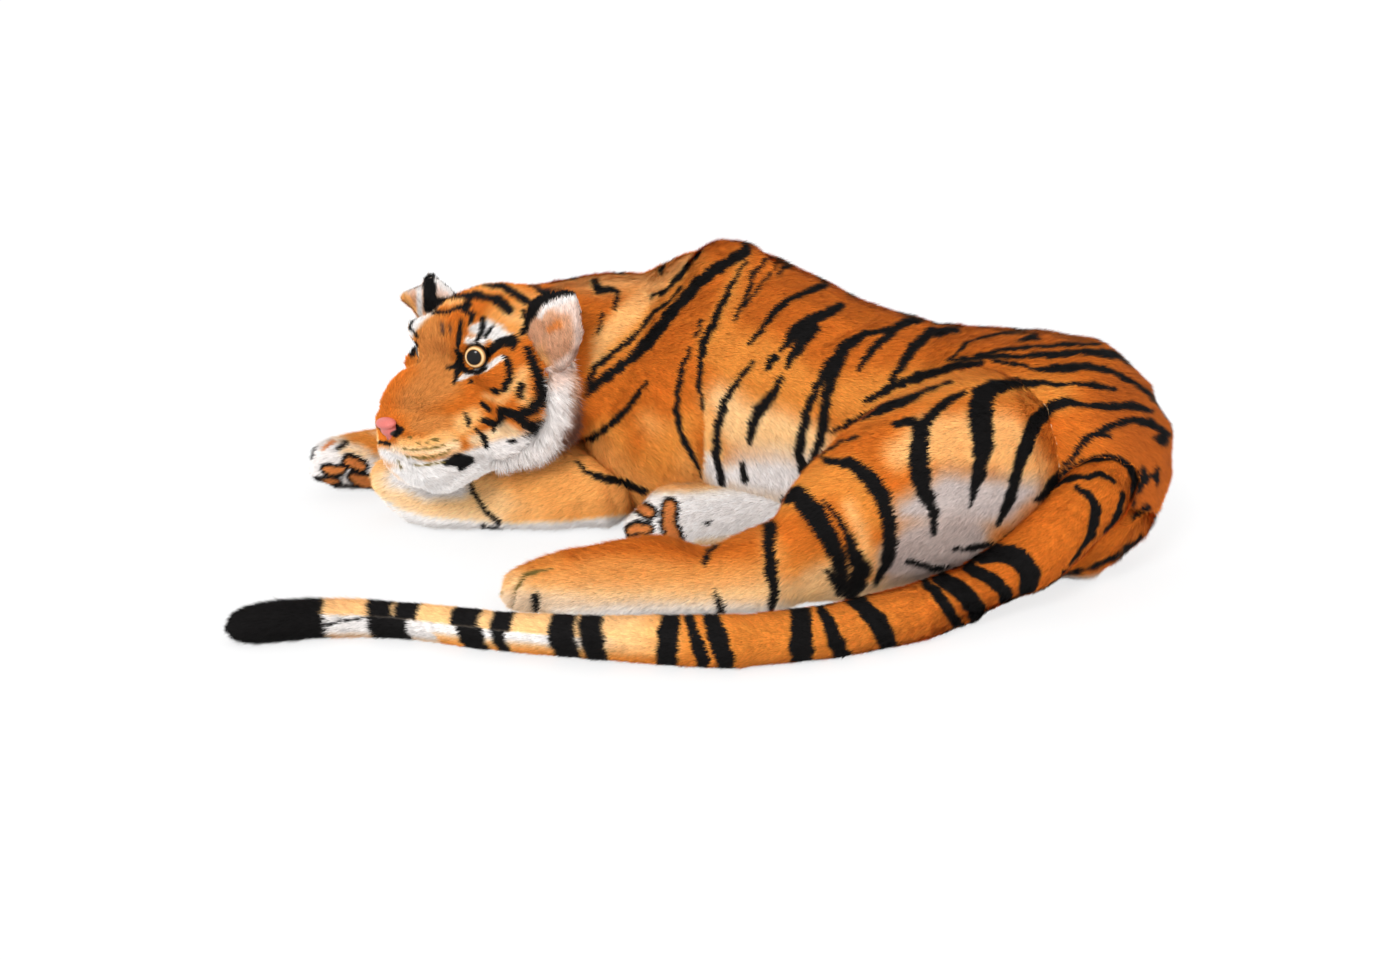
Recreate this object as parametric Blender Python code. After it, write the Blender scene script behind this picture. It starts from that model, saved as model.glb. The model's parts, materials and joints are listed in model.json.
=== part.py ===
"""A large plush tiger, lying down with its head on its left forearm.

Metres, +Z up.  The tiger faces -X and turns its face towards -Y.
Its left side, with both hind legs and the tail, is the -Y side.
The origin is on the floor, under the middle of the whole toy.
"""

import math

import bpy
import bmesh
from mathutils import Matrix, Vector

# Fits shared by all pieces
SEAM_GAP = 0.0003
FLOOR_BITE = 0.0005
OVERRUN = 0.02

# Place of the origin, measured from the corner that the body is laid out from
ORIGIN_X = 0.1214
ORIGIN_Y = -0.2012

# Body: the line from the chest to the rump, on the floor
BODY_TURN = math.radians(-20.8)

TRUNK_LENGTH = 0.41
TRUNK_WIDTH = 0.236
TRUNK_HEIGHT = 0.304
TRUNK_CHEST_DOME = 0.045
TRUNK_LOIN_DOME = 0.05
# along, aside, width, height
TRUNK_SHARES = (
    (0.00, 0.00, 0.66, 0.74),
    (0.18, 0.00, 0.92, 0.93),
    (0.37, 0.00, 1.00, 1.00),
    (0.58, 0.02, 0.95, 0.93),
    (0.80, 0.02, 0.88, 0.82),
    (1.00, 0.00, 0.85, 0.78),
)

HIPS_START = 0.36
HIPS_LENGTH = 0.20
HIPS_WIDTH = 0.244
HIPS_HEIGHT = 0.226
HIPS_MIDDLE_HEIGHT = 0.139
HIPS_LOIN_DOME = 0.04
HIPS_RUMP_DOME = 0.086
# along, width, height, lift of the middle as a share of the height
HIPS_SHARES = (
    (0.00, 0.72, 0.86, -0.02),
    (0.35, 0.94, 1.00, 0.00),
    (0.70, 1.00, 0.98, -0.01),
    (1.00, 0.88, 0.88, -0.06),
)

# Neck, from the chest to the back of the head
NECK_START = 0.045
NECK_START_ASIDE = 0.01
NECK_START_HEIGHT = 0.172
NECK_WIDTH = 0.178
NECK_HEIGHT = 0.198
# along the line to the head's middle, lift as a share of the height, width, height
NECK_SHARES = (
    (0.00, 0.00, 1.00, 1.00),
    (0.35, 0.03, 1.00, 0.97),
    (0.70, 0.03, 0.95, 0.88),
    (0.95, 0.00, 0.85, 0.76),
)

# Shoulders: along and aside of the body line, height of the middle
SHOULDER_WIDTH = 0.172
SHOULDER_THICKNESS = 0.104
SHOULDER_HEIGHT = 0.276
SHOULDER_TOP_DOME = 0.05
SHOULDER_ELBOW_DOME = 0.03
LEFT_SHOULDER_ALONG = 0.128
LEFT_SHOULDER_ASIDE = 0.094
RIGHT_SHOULDER_ALONG = 0.132
RIGHT_SHOULDER_ASIDE = 0.072
RIGHT_SHOULDER_HEIGHT = 0.235
# height, along as a share of the width, aside as a share of the thickness, width, thickness
SHOULDER_SHARES = (
    (1.00, 0.14, 0.72, 0.62, 0.74),
    (0.78, 0.02, 0.34, 0.90, 0.92),
    (0.50, -0.20, 0.06, 1.00, 1.00),
    (0.30, -0.30, 0.20, 0.90, 1.00),
    (0.18, -0.34, 0.38, 0.74, 0.94),
)

# Forelegs: the forearm lies along the floor, from the elbow to the paw
LEFT_ELBOW_ALONG = 0.034
LEFT_ELBOW_ASIDE = 0.090
RIGHT_ELBOW_ALONG = 0.128
RIGHT_ELBOW_ASIDE = 0.118
LEFT_FOREARM_LENGTH = 0.185
LEFT_FOREARM_WIDTH = 0.104
LEFT_FOREARM_HEIGHT = 0.098
LEFT_FOREARM_TURN = math.radians(178)
RIGHT_FOREARM_WIDTH = 0.086
RIGHT_FOREARM_HEIGHT = 0.084
RIGHT_FOREARM_LENGTH = 0.425
RIGHT_FOREARM_TURN = math.radians(186)
FOREARM_ELBOW_DOME = 0.035
FOREARM_WRIST_DOME = 0.02
# along, aside as a share of the length, width, height
FOREARM_SHARES = (
    (0.00, 0.00, 1.00, 1.00),
    (0.33, -0.02, 0.97, 0.97),
    (0.70, -0.02, 0.94, 0.94),
    (1.00, 0.00, 0.90, 0.90),
)
LEFT_FOREPAW_LENGTH = 0.064
RIGHT_FOREPAW_LENGTH = 0.078
FOREPAW_DOME = 0.030
# along, aside, width and height as shares of the forearm's
FOREPAW_SHARES = (
    (0.00, 0.00, 0.88, 0.88),
    (0.50, 0.02, 0.94, 0.93),
    (1.00, 0.02, 0.86, 0.84),
)

# Left hind leg: thigh, shank and paw
LEFT_HIP_ALONG = 0.485
LEFT_HIP_ASIDE = 0.082
LEFT_HIP_HEIGHT = 0.128
LEFT_THIGH_LENGTH = 0.215
LEFT_THIGH_TURN = math.radians(198)
LEFT_THIGH_WIDTH = 0.172
LEFT_THIGH_HEIGHT = 0.222
LEFT_THIGH_HIP_DOME = 0.07
LEFT_THIGH_KNEE_DOME = 0.040
# along, drop of the middle as a share of the hip's height, width, height
LEFT_THIGH_SHARES = (
    (0.00, 0.00, 0.94, 0.96),
    (0.35, 0.10, 1.00, 0.96),
    (0.70, 0.32, 0.88, 0.80),
    (1.00, 0.52, 0.66, 0.60),
)
LEFT_SHANK_START = 0.178
LEFT_SHANK_LENGTH = 0.266
LEFT_SHANK_TURN = math.radians(186)
LEFT_SHANK_WIDTH = 0.112
LEFT_SHANK_HEIGHT = 0.116
RIGHT_SHANK_WIDTH = 0.092
RIGHT_SHANK_HEIGHT = 0.088
RIGHT_SHANK_LENGTH = 0.142
RIGHT_SHANK_TURN = math.radians(191)
SHANK_KNEE_DOME = 0.03
SHANK_ANKLE_DOME = 0.015
# along, aside as a share of the length, width, height
SHANK_SHARES = (
    (0.00, 0.00, 1.00, 1.00),
    (0.30, 0.00, 0.90, 0.84),
    (0.65, -0.01, 0.72, 0.66),
    (1.00, 0.00, 0.66, 0.58),
)
LEFT_HIND_PAW_LENGTH = 0.068
RIGHT_HIND_PAW_LENGTH = 0.030
HIND_PAW_DOME = 0.032
# along, aside, width and height as shares of the shank's
HIND_PAW_SHARES = (
    (0.00, 0.00, 0.64, 0.57),
    (0.45, 0.02, 0.68, 0.54),
    (1.00, 0.03, 0.62, 0.42),
)

# Right hind leg: its thigh lies flat under the rump
RIGHT_THIGH_START_ALONG = 0.590
RIGHT_THIGH_START_ASIDE = 0.040
RIGHT_THIGH_LENGTH = 0.33
RIGHT_THIGH_TURN = math.radians(160)
RIGHT_THIGH_WIDTH = 0.16
RIGHT_THIGH_HEIGHT = 0.112
RIGHT_THIGH_RUMP_DOME = 0.05
RIGHT_THIGH_KNEE_DOME = 0.035
# along, aside as a share of the length, width, height
RIGHT_THIGH_SHARES = (
    (0.00, 0.00, 0.86, 0.92),
    (0.35, 0.00, 1.00, 1.00),
    (0.70, -0.02, 0.88, 0.92),
    (1.00, 0.00, 0.68, 0.84),
)

# Tail: its line in plan from the rump, round the left side, to the tip
TAIL_ROOT_ALONG = 0.570
TAIL_ROOT_ASIDE = 0.092
TAIL_ROOT_HEIGHT = 0.128
TAIL_LENGTH = 0.86
TAIL_ROOT_WIDTH = 0.082
TAIL_TIP_DOME = 0.022
# forward (-X) and outward (-Y) places as shares of the length, share of the root's
# height that the middle keeps, thickness as a share of the root's
TAIL_SHARES = (
    (-0.035, -0.035, 1.00, 1.00),
    (-0.006, 0.023, 0.84, 0.93),
    (0.047, 0.052, 0.56, 0.88),
    (0.116, 0.085, 0.27, 0.80),
    (0.186, 0.137, 0.00, 0.74),
    (0.294, 0.192, 0.00, 0.67),
    (0.419, 0.226, 0.00, 0.65),
    (0.581, 0.219, 0.00, 0.60),
    (0.698, 0.188, 0.00, 0.52),
    (0.814, 0.151, 0.00, 0.48),
    (0.895, 0.143, 0.00, 0.48),
    (0.953, 0.155, 0.00, 0.51),
    (0.987, 0.160, 0.00, 0.46),
)
# places along the tail's line where it bends, as shares of its steps
TAIL_BEND_SHARES = (0.29, 0.50, 0.675)
TAIL_TUFT_SHARE = 0.86
TAIL_BALL_SHARE = 1.03

# Head: its middle, and how it is turned
HEAD_FORWARD = 0.118
HEAD_OUTWARD = 0.091
HEAD_HEIGHT = 0.199
HEAD_YAW = math.radians(46)
HEAD_PITCH = math.radians(12)
HEAD_ROLL = math.radians(7)
HEAD_LIFT = math.radians(18)

SKULL_LENGTH = 0.178
SKULL_WIDTH = 0.186
SKULL_HEIGHT = 0.168
# forward as a share of the length, up as a share of the height, width, height
SKULL_SHARES = (
    (-0.28, 0.00, 0.84, 0.84),
    (-0.05, 0.00, 1.00, 1.00),
    (0.18, -0.02, 0.99, 0.96),
    (0.38, -0.05, 0.86, 0.78),
)
SKULL_BACK_DOME = 0.042
SKULL_FRONT_DOME = 0.018

MUZZLE_LENGTH = 0.112
MUZZLE_START = 0.040
MUZZLE_WIDTH = 0.106
MUZZLE_HEIGHT = 0.100
MUZZLE_DROP = 0.030
MUZZLE_FRONT_DOME = 0.028
# along, drop as a share of the height, width, height
MUZZLE_SHARES = (
    (0.00, -0.06, 1.16, 1.30),
    (0.45, 0.06, 1.02, 1.14),
    (1.00, 0.22, 0.92, 0.88),
)

CHIN_START = 0.050
CHIN_LENGTH = 0.082
CHIN_WIDTH = 0.076
CHIN_HEIGHT = 0.050
CHIN_DROP = 0.084
CHIN_DOME = 0.022

NOSE_WIDTH = 0.036
NOSE_HEIGHT = 0.026
NOSE_LENGTH = 0.020
NOSE_DROP = 0.022
NOSE_FORWARD = 0.160
NOSE_DOME = 0.008

RUFF_THICKNESS = 0.036
RUFF_WIDTH = 0.060
RUFF_DOME = 0.018
RUFF_REACH = 0.092
RUFF_FALL = 0.110
# forward and down as shares of the fall, aside as a share of the reach, size
RUFF_SHARES = (
    (-0.10, -0.16, 0.98, 0.72),
    (-0.04, 0.22, 1.02, 0.92),
    (0.04, 0.62, 0.94, 1.00),
    (0.34, 0.92, 0.74, 0.90),
    (0.68, 0.94, 0.54, 0.66),
)

EYE_DIAMETER = 0.026
EYE_DOME = 0.0085
EYE_RIM = 0.0015
EYE_SHANK_DIAMETER = 0.006
EYE_SHANK_LENGTH = 0.022
WASHER_DIAMETER = 0.022
WASHER_THICKNESS = 0.002
WASHER_SETBACK = 0.012
EYE_FORWARD = 0.074
EYE_ASIDE = 0.050
EYE_UP = 0.033
EYE_TURN = math.radians(34)
EYE_RAISE = math.radians(14)
EYE_CLEARANCE = 0.0004

EAR_LENGTH = 0.066
EAR_WIDTH = 0.068
EAR_THICKNESS = 0.018
EAR_CUP = 0.012
LEFT_EAR_FORWARD = 0.010
LEFT_EAR_ASIDE = 0.077
LEFT_EAR_UP = 0.027
RIGHT_EAR_FORWARD = 0.026
RIGHT_EAR_ASIDE = 0.066
RIGHT_EAR_UP = 0.047
EAR_DOME = 0.016
# along the ear, width, thickness, cup
EAR_SHARES = (
    (0.00, 0.74, 1.00, 0.00),
    (0.25, 0.92, 0.72, 0.60),
    (0.55, 1.00, 0.62, 1.00),
    (0.82, 0.80, 0.55, 0.80),
)
# directions in the head's own axes: along the sewn edge, and out from it
EAR_LINE = Vector((0.0, -0.37, 0.93))
EAR_OUT = Vector((-0.50, 0.75, 0.42))
EAR_FOLD_BACK = math.radians(-15)
EAR_FOLD_FORWARD = math.radians(30)

# How many points each form's mesh has
BODY_SIDES = 16
HEAD_SIDES = 16
NECK_SIDES = 14
THIGH_SIDES = 14
LIMB_SIDES = 12
TAIL_SIDES = 12
SMALL_SIDES = 10
RUFF_SIDES = 10
EYE_SIDES = 20
HOLLOW_SIDES = 12
BALL_SIDES = 18
BALL_STEPS = 3
SIDES_FOR_EACH_DOME_STEP = 5
EYE_DOME_STEPS = 5
TAIL_RINGS = 14
SWEEP_STEPS = 2

FUR_ROUGHNESS = 0.9
NOSE_ROUGHNESS = 0.45
EYE_ROUGHNESS = 0.08
WASHER_ROUGHNESS = 0.5

ORANGE = (0.80, 0.33, 0.07)
PALE_ORANGE = (0.86, 0.52, 0.20)
WHITE = (0.86, 0.83, 0.77)
BLACK = (0.02, 0.018, 0.016)
PINK = (0.80, 0.36, 0.33)
GOLD = (0.80, 0.62, 0.34)
CLEAR_WHITE = (0.75, 0.75, 0.73)


def clear_scene():
    for thing in list(bpy.data.objects):
        bpy.data.objects.remove(thing, do_unlink=True)


def finish(name, colour, roughness):
    """A plain material of one colour."""
    material = bpy.data.materials.new(name)
    material.use_nodes = True
    shader = material.node_tree.nodes["Principled BSDF"]
    shader.inputs["Base Color"].default_value = (*colour, 1)
    shader.inputs["Roughness"].default_value = roughness
    shader.inputs["Metallic"].default_value = 0
    return material


def smooth_value(values, place):
    """A smooth curve through the values, at a place from 0 to 1."""
    last = len(values) - 1
    spot = min(max(place, 0), 1) * last
    step = min(int(spot), last - 1)
    share = spot - step
    before = values[max(step - 1, 0)]
    start = values[step]
    end = values[step + 1]
    after = values[min(step + 2, last)]
    bend = 2 * before - 5 * start + 4 * end - after
    curl = 3 * start - before - 3 * end + after
    return start + (end - before) * share / 2 + bend * share ** 2 / 2 + curl * share ** 3 / 2


class Form:
    """A stuffed form: round sections along a smooth line, with domed ends."""

    def __init__(self, points, widths, heights, domes, rings, sides, broad=None, cups=None,
                 fullness=(2.15, 2.5), ball=0):
        self.points = points
        self.widths = widths
        self.heights = heights
        self.domes = domes
        self.rings = rings
        self.sides = sides
        self.broad = broad
        self.cups = cups or [0, 0]
        self.fullness = fullness
        self.ball = ball

    def middle(self, place):
        return smooth_value(self.points, place)

    def direction(self, place):
        reach = 1 / (8 * self.rings)
        return (self.middle(place + reach) - self.middle(place - reach)).normalized()

    def half_width(self, place):
        return smooth_value(self.widths, place) / 2

    def half_height(self, place):
        return smooth_value(self.heights, place) / 2

    def section(self, place, swell, onward=0, shrink=1):
        """One ring of points, moved onward along the line's direction and shrunk."""
        along = self.direction(place)
        broad = self.broad if self.broad else Vector((0, 0, 1)).cross(along)
        side = (broad - along * broad.dot(along)).normalized()
        rise = along.cross(side)
        if not self.broad and rise.z < 0:
            rise = -rise
        middle = self.middle(place) + along * onward
        half_width = (self.half_width(place) + swell) * shrink
        half_height = (self.half_height(place) + swell) * shrink
        cup = smooth_value(self.cups, place)
        ring = []
        for step in range(self.sides):
            turn = 2 * math.pi * step / self.sides
            power = 2 / (self.fullness[0] if math.sin(turn) > 0 else self.fullness[1])
            across = math.copysign(abs(math.cos(turn)) ** power, math.cos(turn))
            upward = math.copysign(abs(math.sin(turn)) ** power, math.sin(turn))
            sunk = cup * (1 - across ** 2)
            ring.append(middle + side * half_width * across + rise * (half_height * upward - sunk))
        return ring

    def ball_rings(self, swell):
        """The back half of a round ball, whose middle is the line's start."""
        radius = self.ball + swell
        grown = radius / (self.half_width(0) + swell)
        rings = []
        for step in range(1, BALL_STEPS + 1):
            lean = math.pi / 2 * (1 - step / BALL_STEPS)
            rings.append(self.section(0, swell, -radius * math.sin(lean), grown * math.cos(lean)))
        return rings, self.middle(0) - self.direction(0) * radius

    def dome_rings(self, end, swell):
        dome = self.domes[end] + swell
        outward = 1 if end else -1
        rings = []
        steps = self.sides // SIDES_FOR_EACH_DOME_STEP if self.domes[end] else 1
        for step in range(1, steps):
            lean = math.pi / 2 * step / steps
            rings.append(self.section(end, swell, outward * dome * math.sin(lean), math.cos(lean)))
        return rings, self.middle(end) + self.direction(end) * outward * dome

    def mesh(self, name, swell=0):
        """The form's closed mesh, its surface moved out by swell."""
        first = 0
        if self.ball:
            rings, start_pole = self.ball_rings(swell)
            first = 1
        else:
            rings, start_pole = self.dome_rings(0, swell)
            rings.reverse()
        rings += [self.section(ring / self.rings, swell) for ring in range(first, self.rings + 1)]
        end_rings, end_pole = self.dome_rings(1, swell)
        rings += end_rings
        mesh = bmesh.new()
        rows = [[mesh.verts.new(spot) for spot in ring] for ring in rings]
        for row, following in zip(rows, rows[1:]):
            for side in range(self.sides):
                beside = (side + 1) % self.sides
                mesh.faces.new((row[side], row[beside], following[beside]))
                mesh.faces.new((row[side], following[beside], following[side]))
        for row, pole in ((rows[0], start_pole), (rows[-1], end_pole)):
            top = mesh.verts.new(pole)
            for side in range(self.sides):
                mesh.faces.new((row[side], row[(side + 1) % self.sides], top))
        bmesh.ops.recalc_face_normals(mesh, faces=mesh.faces)
        return as_mesh(name, mesh)


def as_mesh(name, mesh):
    result = bpy.data.meshes.new(name)
    mesh.to_mesh(result)
    mesh.free()
    return result


def ball_mesh(name, middle, radius):
    """A ball whose flat faces all lie outside the radius."""
    mesh = bmesh.new()
    flat = math.cos(math.pi / BALL_SIDES) ** 2
    bmesh.ops.create_uvsphere(mesh, u_segments=BALL_SIDES, v_segments=BALL_SIDES // 2,
                              radius=radius / flat, matrix=Matrix.Translation(middle))
    return as_mesh(name, mesh)


def turned_mesh(name, outline, place, sides):
    """A piece turned about the place's X axis, from pairs of distance along and radius.

    An outline that starts off the axis is closed on itself, as a washer is.
    """
    mesh = bmesh.new()
    rows = []
    for along, radius in outline:
        turns = [2 * math.pi * side / sides for side in range(sides if radius else 1)]
        rows.append([mesh.verts.new(place @ Vector(
            (along, radius * math.cos(turn), radius * math.sin(turn)))) for turn in turns])
    if outline[0][1]:
        rows.append(rows[0])
    for row, following in zip(rows, rows[1:]):
        for side in range(sides):
            beside = (side + 1) % sides
            corners = [row[side % len(row)], row[beside % len(row)],
                       following[beside % len(following)], following[side % len(following)]]
            mesh.faces.new(list(dict.fromkeys(corners)))
    bmesh.ops.recalc_face_normals(mesh, faces=mesh.faces)
    return as_mesh(name, mesh)


def swept_mesh(name, form, middle, axis, angles):
    """The space that a form needs as it turns through the angles, wrapped tight."""
    mesh = bmesh.new()
    for angle in angles:
        copy = form.mesh(name, SEAM_GAP)
        turn = Matrix.Rotation(angle, 4, axis)
        copy.transform(Matrix.Translation(middle) @ turn @ Matrix.Translation(-middle))
        mesh.from_mesh(copy)
        bpy.data.meshes.remove(copy)
    wrap = bmesh.ops.convex_hull(mesh, input=mesh.verts)
    spare = {thing for thing in wrap["geom_interior"] + wrap["geom_unused"]
             if isinstance(thing, bmesh.types.BMVert)}
    bmesh.ops.delete(mesh, geom=list(spare), context="VERTS")
    covered = [face for face in mesh.faces if face not in set(wrap["geom"])]
    bmesh.ops.delete(mesh, geom=covered, context="FACES_ONLY")
    bmesh.ops.recalc_face_normals(mesh, faces=mesh.faces)
    return as_mesh(name, mesh)


def angles_between(low, high, steps):
    return [low + (high - low) * step / steps for step in range(steps + 1)]


class Toy:
    """Makes the toy's pieces, their cutters and the points that they turn on."""

    def __init__(self):
        root = bpy.data.objects.new("lying_tiger", None)
        root.location = Vector((-ORIGIN_X, -ORIGIN_Y, 0))
        bpy.context.scene.collection.objects.link(root)
        self.places = {None: Vector((0, 0, 0))}
        self.pivots = {None: root}
        self.cutters = {}
        self.pieces = {}

    def pivot(self, name, place, parent=None):
        marker = bpy.data.objects.new(name, None)
        marker.parent = self.pivots[parent]
        marker.location = place - self.places[parent]
        bpy.context.scene.collection.objects.link(marker)
        self.pivots[name] = marker
        self.places[name] = place

    def place(self, name, mesh, pivot=None):
        """An object whose origin is on its pivot."""
        mesh.transform(Matrix.Translation(-self.places[pivot]))
        thing = bpy.data.objects.new(name, mesh)
        thing.parent = self.pivots[pivot]
        bpy.context.scene.collection.objects.link(thing)
        return thing

    def piece(self, name, mesh, colour, roughness=FUR_ROUGHNESS, pivot=None):
        thing = self.place(name, mesh, pivot)
        mesh.materials.append(finish(name, colour, roughness))
        mesh.shade_smooth()
        self.pieces[name] = thing

    def cutter(self, name, mesh):
        thing = self.place(name + "_cutter", mesh)
        thing.hide_render = True
        thing.display_type = "WIRE"
        self.cutters[name] = thing

    def cut(self, name, *cutters):
        for cutter in cutters:
            modifier = self.pieces[name].modifiers.new(cutter, "BOOLEAN")
            modifier.operation = "DIFFERENCE"
            modifier.solver = "EXACT"
            modifier.object = self.cutters[cutter]


def on_body(along, aside, height):
    """A place by the body line: along it from the chest, aside to the tiger's left."""
    heading = Vector((math.cos(BODY_TURN), math.sin(BODY_TURN), 0))
    left = Vector((heading.y, -heading.x, 0))
    return heading * along + left * aside + Vector((0, 0, height))


def heading_at(turn):
    return Vector((math.cos(turn), math.sin(turn), 0))


def lying_form(start, turn, length, width, height, shares, domes, rings, sides):
    """A form that lies on the floor: shares are along, aside, width, height."""
    heading = heading_at(turn)
    across = Vector((-heading.y, heading.x, 0))
    points = []
    for along, aside, _, high in shares:
        spot = start + heading * along * length + across * aside * length
        points.append(Vector((spot.x, spot.y, height * high / 2 - FLOOR_BITE)))
    return Form(points, [width * row[2] for row in shares], [height * row[3] for row in shares],
                domes, rings, sides)


def trunk_form():
    points = [on_body(along * TRUNK_LENGTH, aside * TRUNK_WIDTH,
                      TRUNK_HEIGHT * high / 2 - FLOOR_BITE)
              for along, aside, _, high in TRUNK_SHARES]
    return Form(points, [TRUNK_WIDTH * row[2] for row in TRUNK_SHARES],
                [TRUNK_HEIGHT * row[3] for row in TRUNK_SHARES],
                (TRUNK_CHEST_DOME, TRUNK_LOIN_DOME), 7, BODY_SIDES)


def hips_form():
    points = [on_body(HIPS_START + along * HIPS_LENGTH, 0, HIPS_MIDDLE_HEIGHT + lift * HIPS_HEIGHT)
              for along, _, _, lift in HIPS_SHARES]
    return Form(points, [HIPS_WIDTH * row[1] for row in HIPS_SHARES],
                [HIPS_HEIGHT * row[2] for row in HIPS_SHARES],
                (HIPS_LOIN_DOME, HIPS_RUMP_DOME), 5, BODY_SIDES)


def shoulder_form(along, aside, height, side):
    """Side is 1 for the left shoulder and -1 for the right one."""
    points = [on_body(along + forth * SHOULDER_WIDTH,
                      side * (aside - inward * SHOULDER_THICKNESS), high * height)
              for high, forth, inward, _, _ in SHOULDER_SHARES]
    return Form(points, [SHOULDER_WIDTH * row[3] for row in SHOULDER_SHARES],
                [SHOULDER_THICKNESS * row[4] for row in SHOULDER_SHARES],
                (SHOULDER_TOP_DOME, SHOULDER_ELBOW_DOME), 7, LIMB_SIDES, on_body(1, 0, 0),
                fullness=(2.3, 2.3))


def head_frame():
    """The head's own axes: X forward, Y to its left, Z up."""
    level = Vector((-math.sin(HEAD_YAW), -math.cos(HEAD_YAW), 0))
    forward = level * math.cos(HEAD_PITCH) - Vector((0, 0, math.sin(HEAD_PITCH)))
    left = Vector((0, 0, 1)).cross(level)
    up = forward.cross(left)
    rolled_left = left * math.cos(HEAD_ROLL) + up * math.sin(HEAD_ROLL)
    frame = Matrix((forward, rolled_left, forward.cross(rolled_left))).transposed().to_4x4()
    return Matrix.Translation(Vector((-HEAD_FORWARD, -HEAD_OUTWARD, HEAD_HEIGHT))) @ frame


def neck_form(head):
    start = on_body(NECK_START, NECK_START_ASIDE, NECK_START_HEIGHT)
    points = [start.lerp(head.translation, along) + Vector((0, 0, lift * NECK_HEIGHT))
              for along, lift, _, _ in NECK_SHARES]
    return Form(points, [NECK_WIDTH * row[2] for row in NECK_SHARES],
                [NECK_HEIGHT * row[3] for row in NECK_SHARES],
                (0, 0), 5, NECK_SIDES)


def head_form(head, spots, widths, heights, domes, rings, sides):
    """A form given in the head's own axes."""
    return Form([head @ Vector(spot) for spot in spots], widths, heights, domes, rings, sides,
                head.to_3x3() @ Vector((0, 1, 0)), fullness=(2.15, 2.2))


def body_forms(forms, head):
    forms["trunk"] = trunk_form()
    forms["hips"] = hips_form()
    forms["left_shoulder"] = shoulder_form(LEFT_SHOULDER_ALONG, LEFT_SHOULDER_ASIDE,
                                           SHOULDER_HEIGHT, 1)
    forms["right_shoulder"] = shoulder_form(RIGHT_SHOULDER_ALONG, RIGHT_SHOULDER_ASIDE,
                                            RIGHT_SHOULDER_HEIGHT, -1)
    forms["neck"] = neck_form(head)


def foreleg_forms(forms):
    left_elbow = on_body(LEFT_ELBOW_ALONG, LEFT_ELBOW_ASIDE, 0)
    right_elbow = on_body(RIGHT_ELBOW_ALONG, -RIGHT_ELBOW_ASIDE, 0)
    for side, elbow, turn, length, width, height, paw_length in (
            ("left", left_elbow, LEFT_FOREARM_TURN, LEFT_FOREARM_LENGTH,
             LEFT_FOREARM_WIDTH, LEFT_FOREARM_HEIGHT, LEFT_FOREPAW_LENGTH),
            ("right", right_elbow, RIGHT_FOREARM_TURN, RIGHT_FOREARM_LENGTH,
             RIGHT_FOREARM_WIDTH, RIGHT_FOREARM_HEIGHT, RIGHT_FOREPAW_LENGTH)):
        wrist = elbow + heading_at(turn) * length
        forms[side + "_forearm"] = lying_form(
            elbow, turn, length, width, height, FOREARM_SHARES,
            (FOREARM_ELBOW_DOME, FOREARM_WRIST_DOME), 4, LIMB_SIDES)
        forms[side + "_forepaw"] = lying_form(
            wrist, turn, paw_length, width, height, FOREPAW_SHARES,
            (0, FOREPAW_DOME), 3, LIMB_SIDES)


def hind_leg_forms(forms):
    hip = on_body(LEFT_HIP_ALONG, LEFT_HIP_ASIDE, LEFT_HIP_HEIGHT)
    heading = heading_at(LEFT_THIGH_TURN)
    points = [hip + heading * along * LEFT_THIGH_LENGTH
              - Vector((0, 0, drop * LEFT_HIP_HEIGHT)) for along, drop, _, _ in LEFT_THIGH_SHARES]
    forms["left_thigh"] = Form(points, [LEFT_THIGH_WIDTH * row[2] for row in LEFT_THIGH_SHARES],
                               [LEFT_THIGH_HEIGHT * row[3] for row in LEFT_THIGH_SHARES],
                               (LEFT_THIGH_HIP_DOME, LEFT_THIGH_KNEE_DOME), 5, THIGH_SIDES)
    rump = on_body(RIGHT_THIGH_START_ALONG, RIGHT_THIGH_START_ASIDE, 0)
    forms["right_thigh"] = lying_form(
        rump, RIGHT_THIGH_TURN, RIGHT_THIGH_LENGTH, RIGHT_THIGH_WIDTH, RIGHT_THIGH_HEIGHT,
        RIGHT_THIGH_SHARES, (RIGHT_THIGH_RUMP_DOME, RIGHT_THIGH_KNEE_DOME), 5, LIMB_SIDES)
    left_knee = hip + heading * LEFT_SHANK_START
    right_knee = rump + heading_at(RIGHT_THIGH_TURN) * RIGHT_THIGH_LENGTH
    for side, knee, turn, length, width, height, paw_length in (
            ("left", left_knee, LEFT_SHANK_TURN, LEFT_SHANK_LENGTH, LEFT_SHANK_WIDTH,
             LEFT_SHANK_HEIGHT, LEFT_HIND_PAW_LENGTH),
            ("right", right_knee, RIGHT_SHANK_TURN, RIGHT_SHANK_LENGTH, RIGHT_SHANK_WIDTH,
             RIGHT_SHANK_HEIGHT, RIGHT_HIND_PAW_LENGTH)):
        ankle = knee + heading_at(turn) * length
        forms[side + "_shank"] = lying_form(
            knee, turn, length, width, height, SHANK_SHARES,
            (SHANK_KNEE_DOME, SHANK_ANKLE_DOME), 5, LIMB_SIDES)
        forms[side + "_hind_paw"] = lying_form(
            ankle, turn, paw_length, width, height, HIND_PAW_SHARES,
            (0, HIND_PAW_DOME), 3, LIMB_SIDES)


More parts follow.
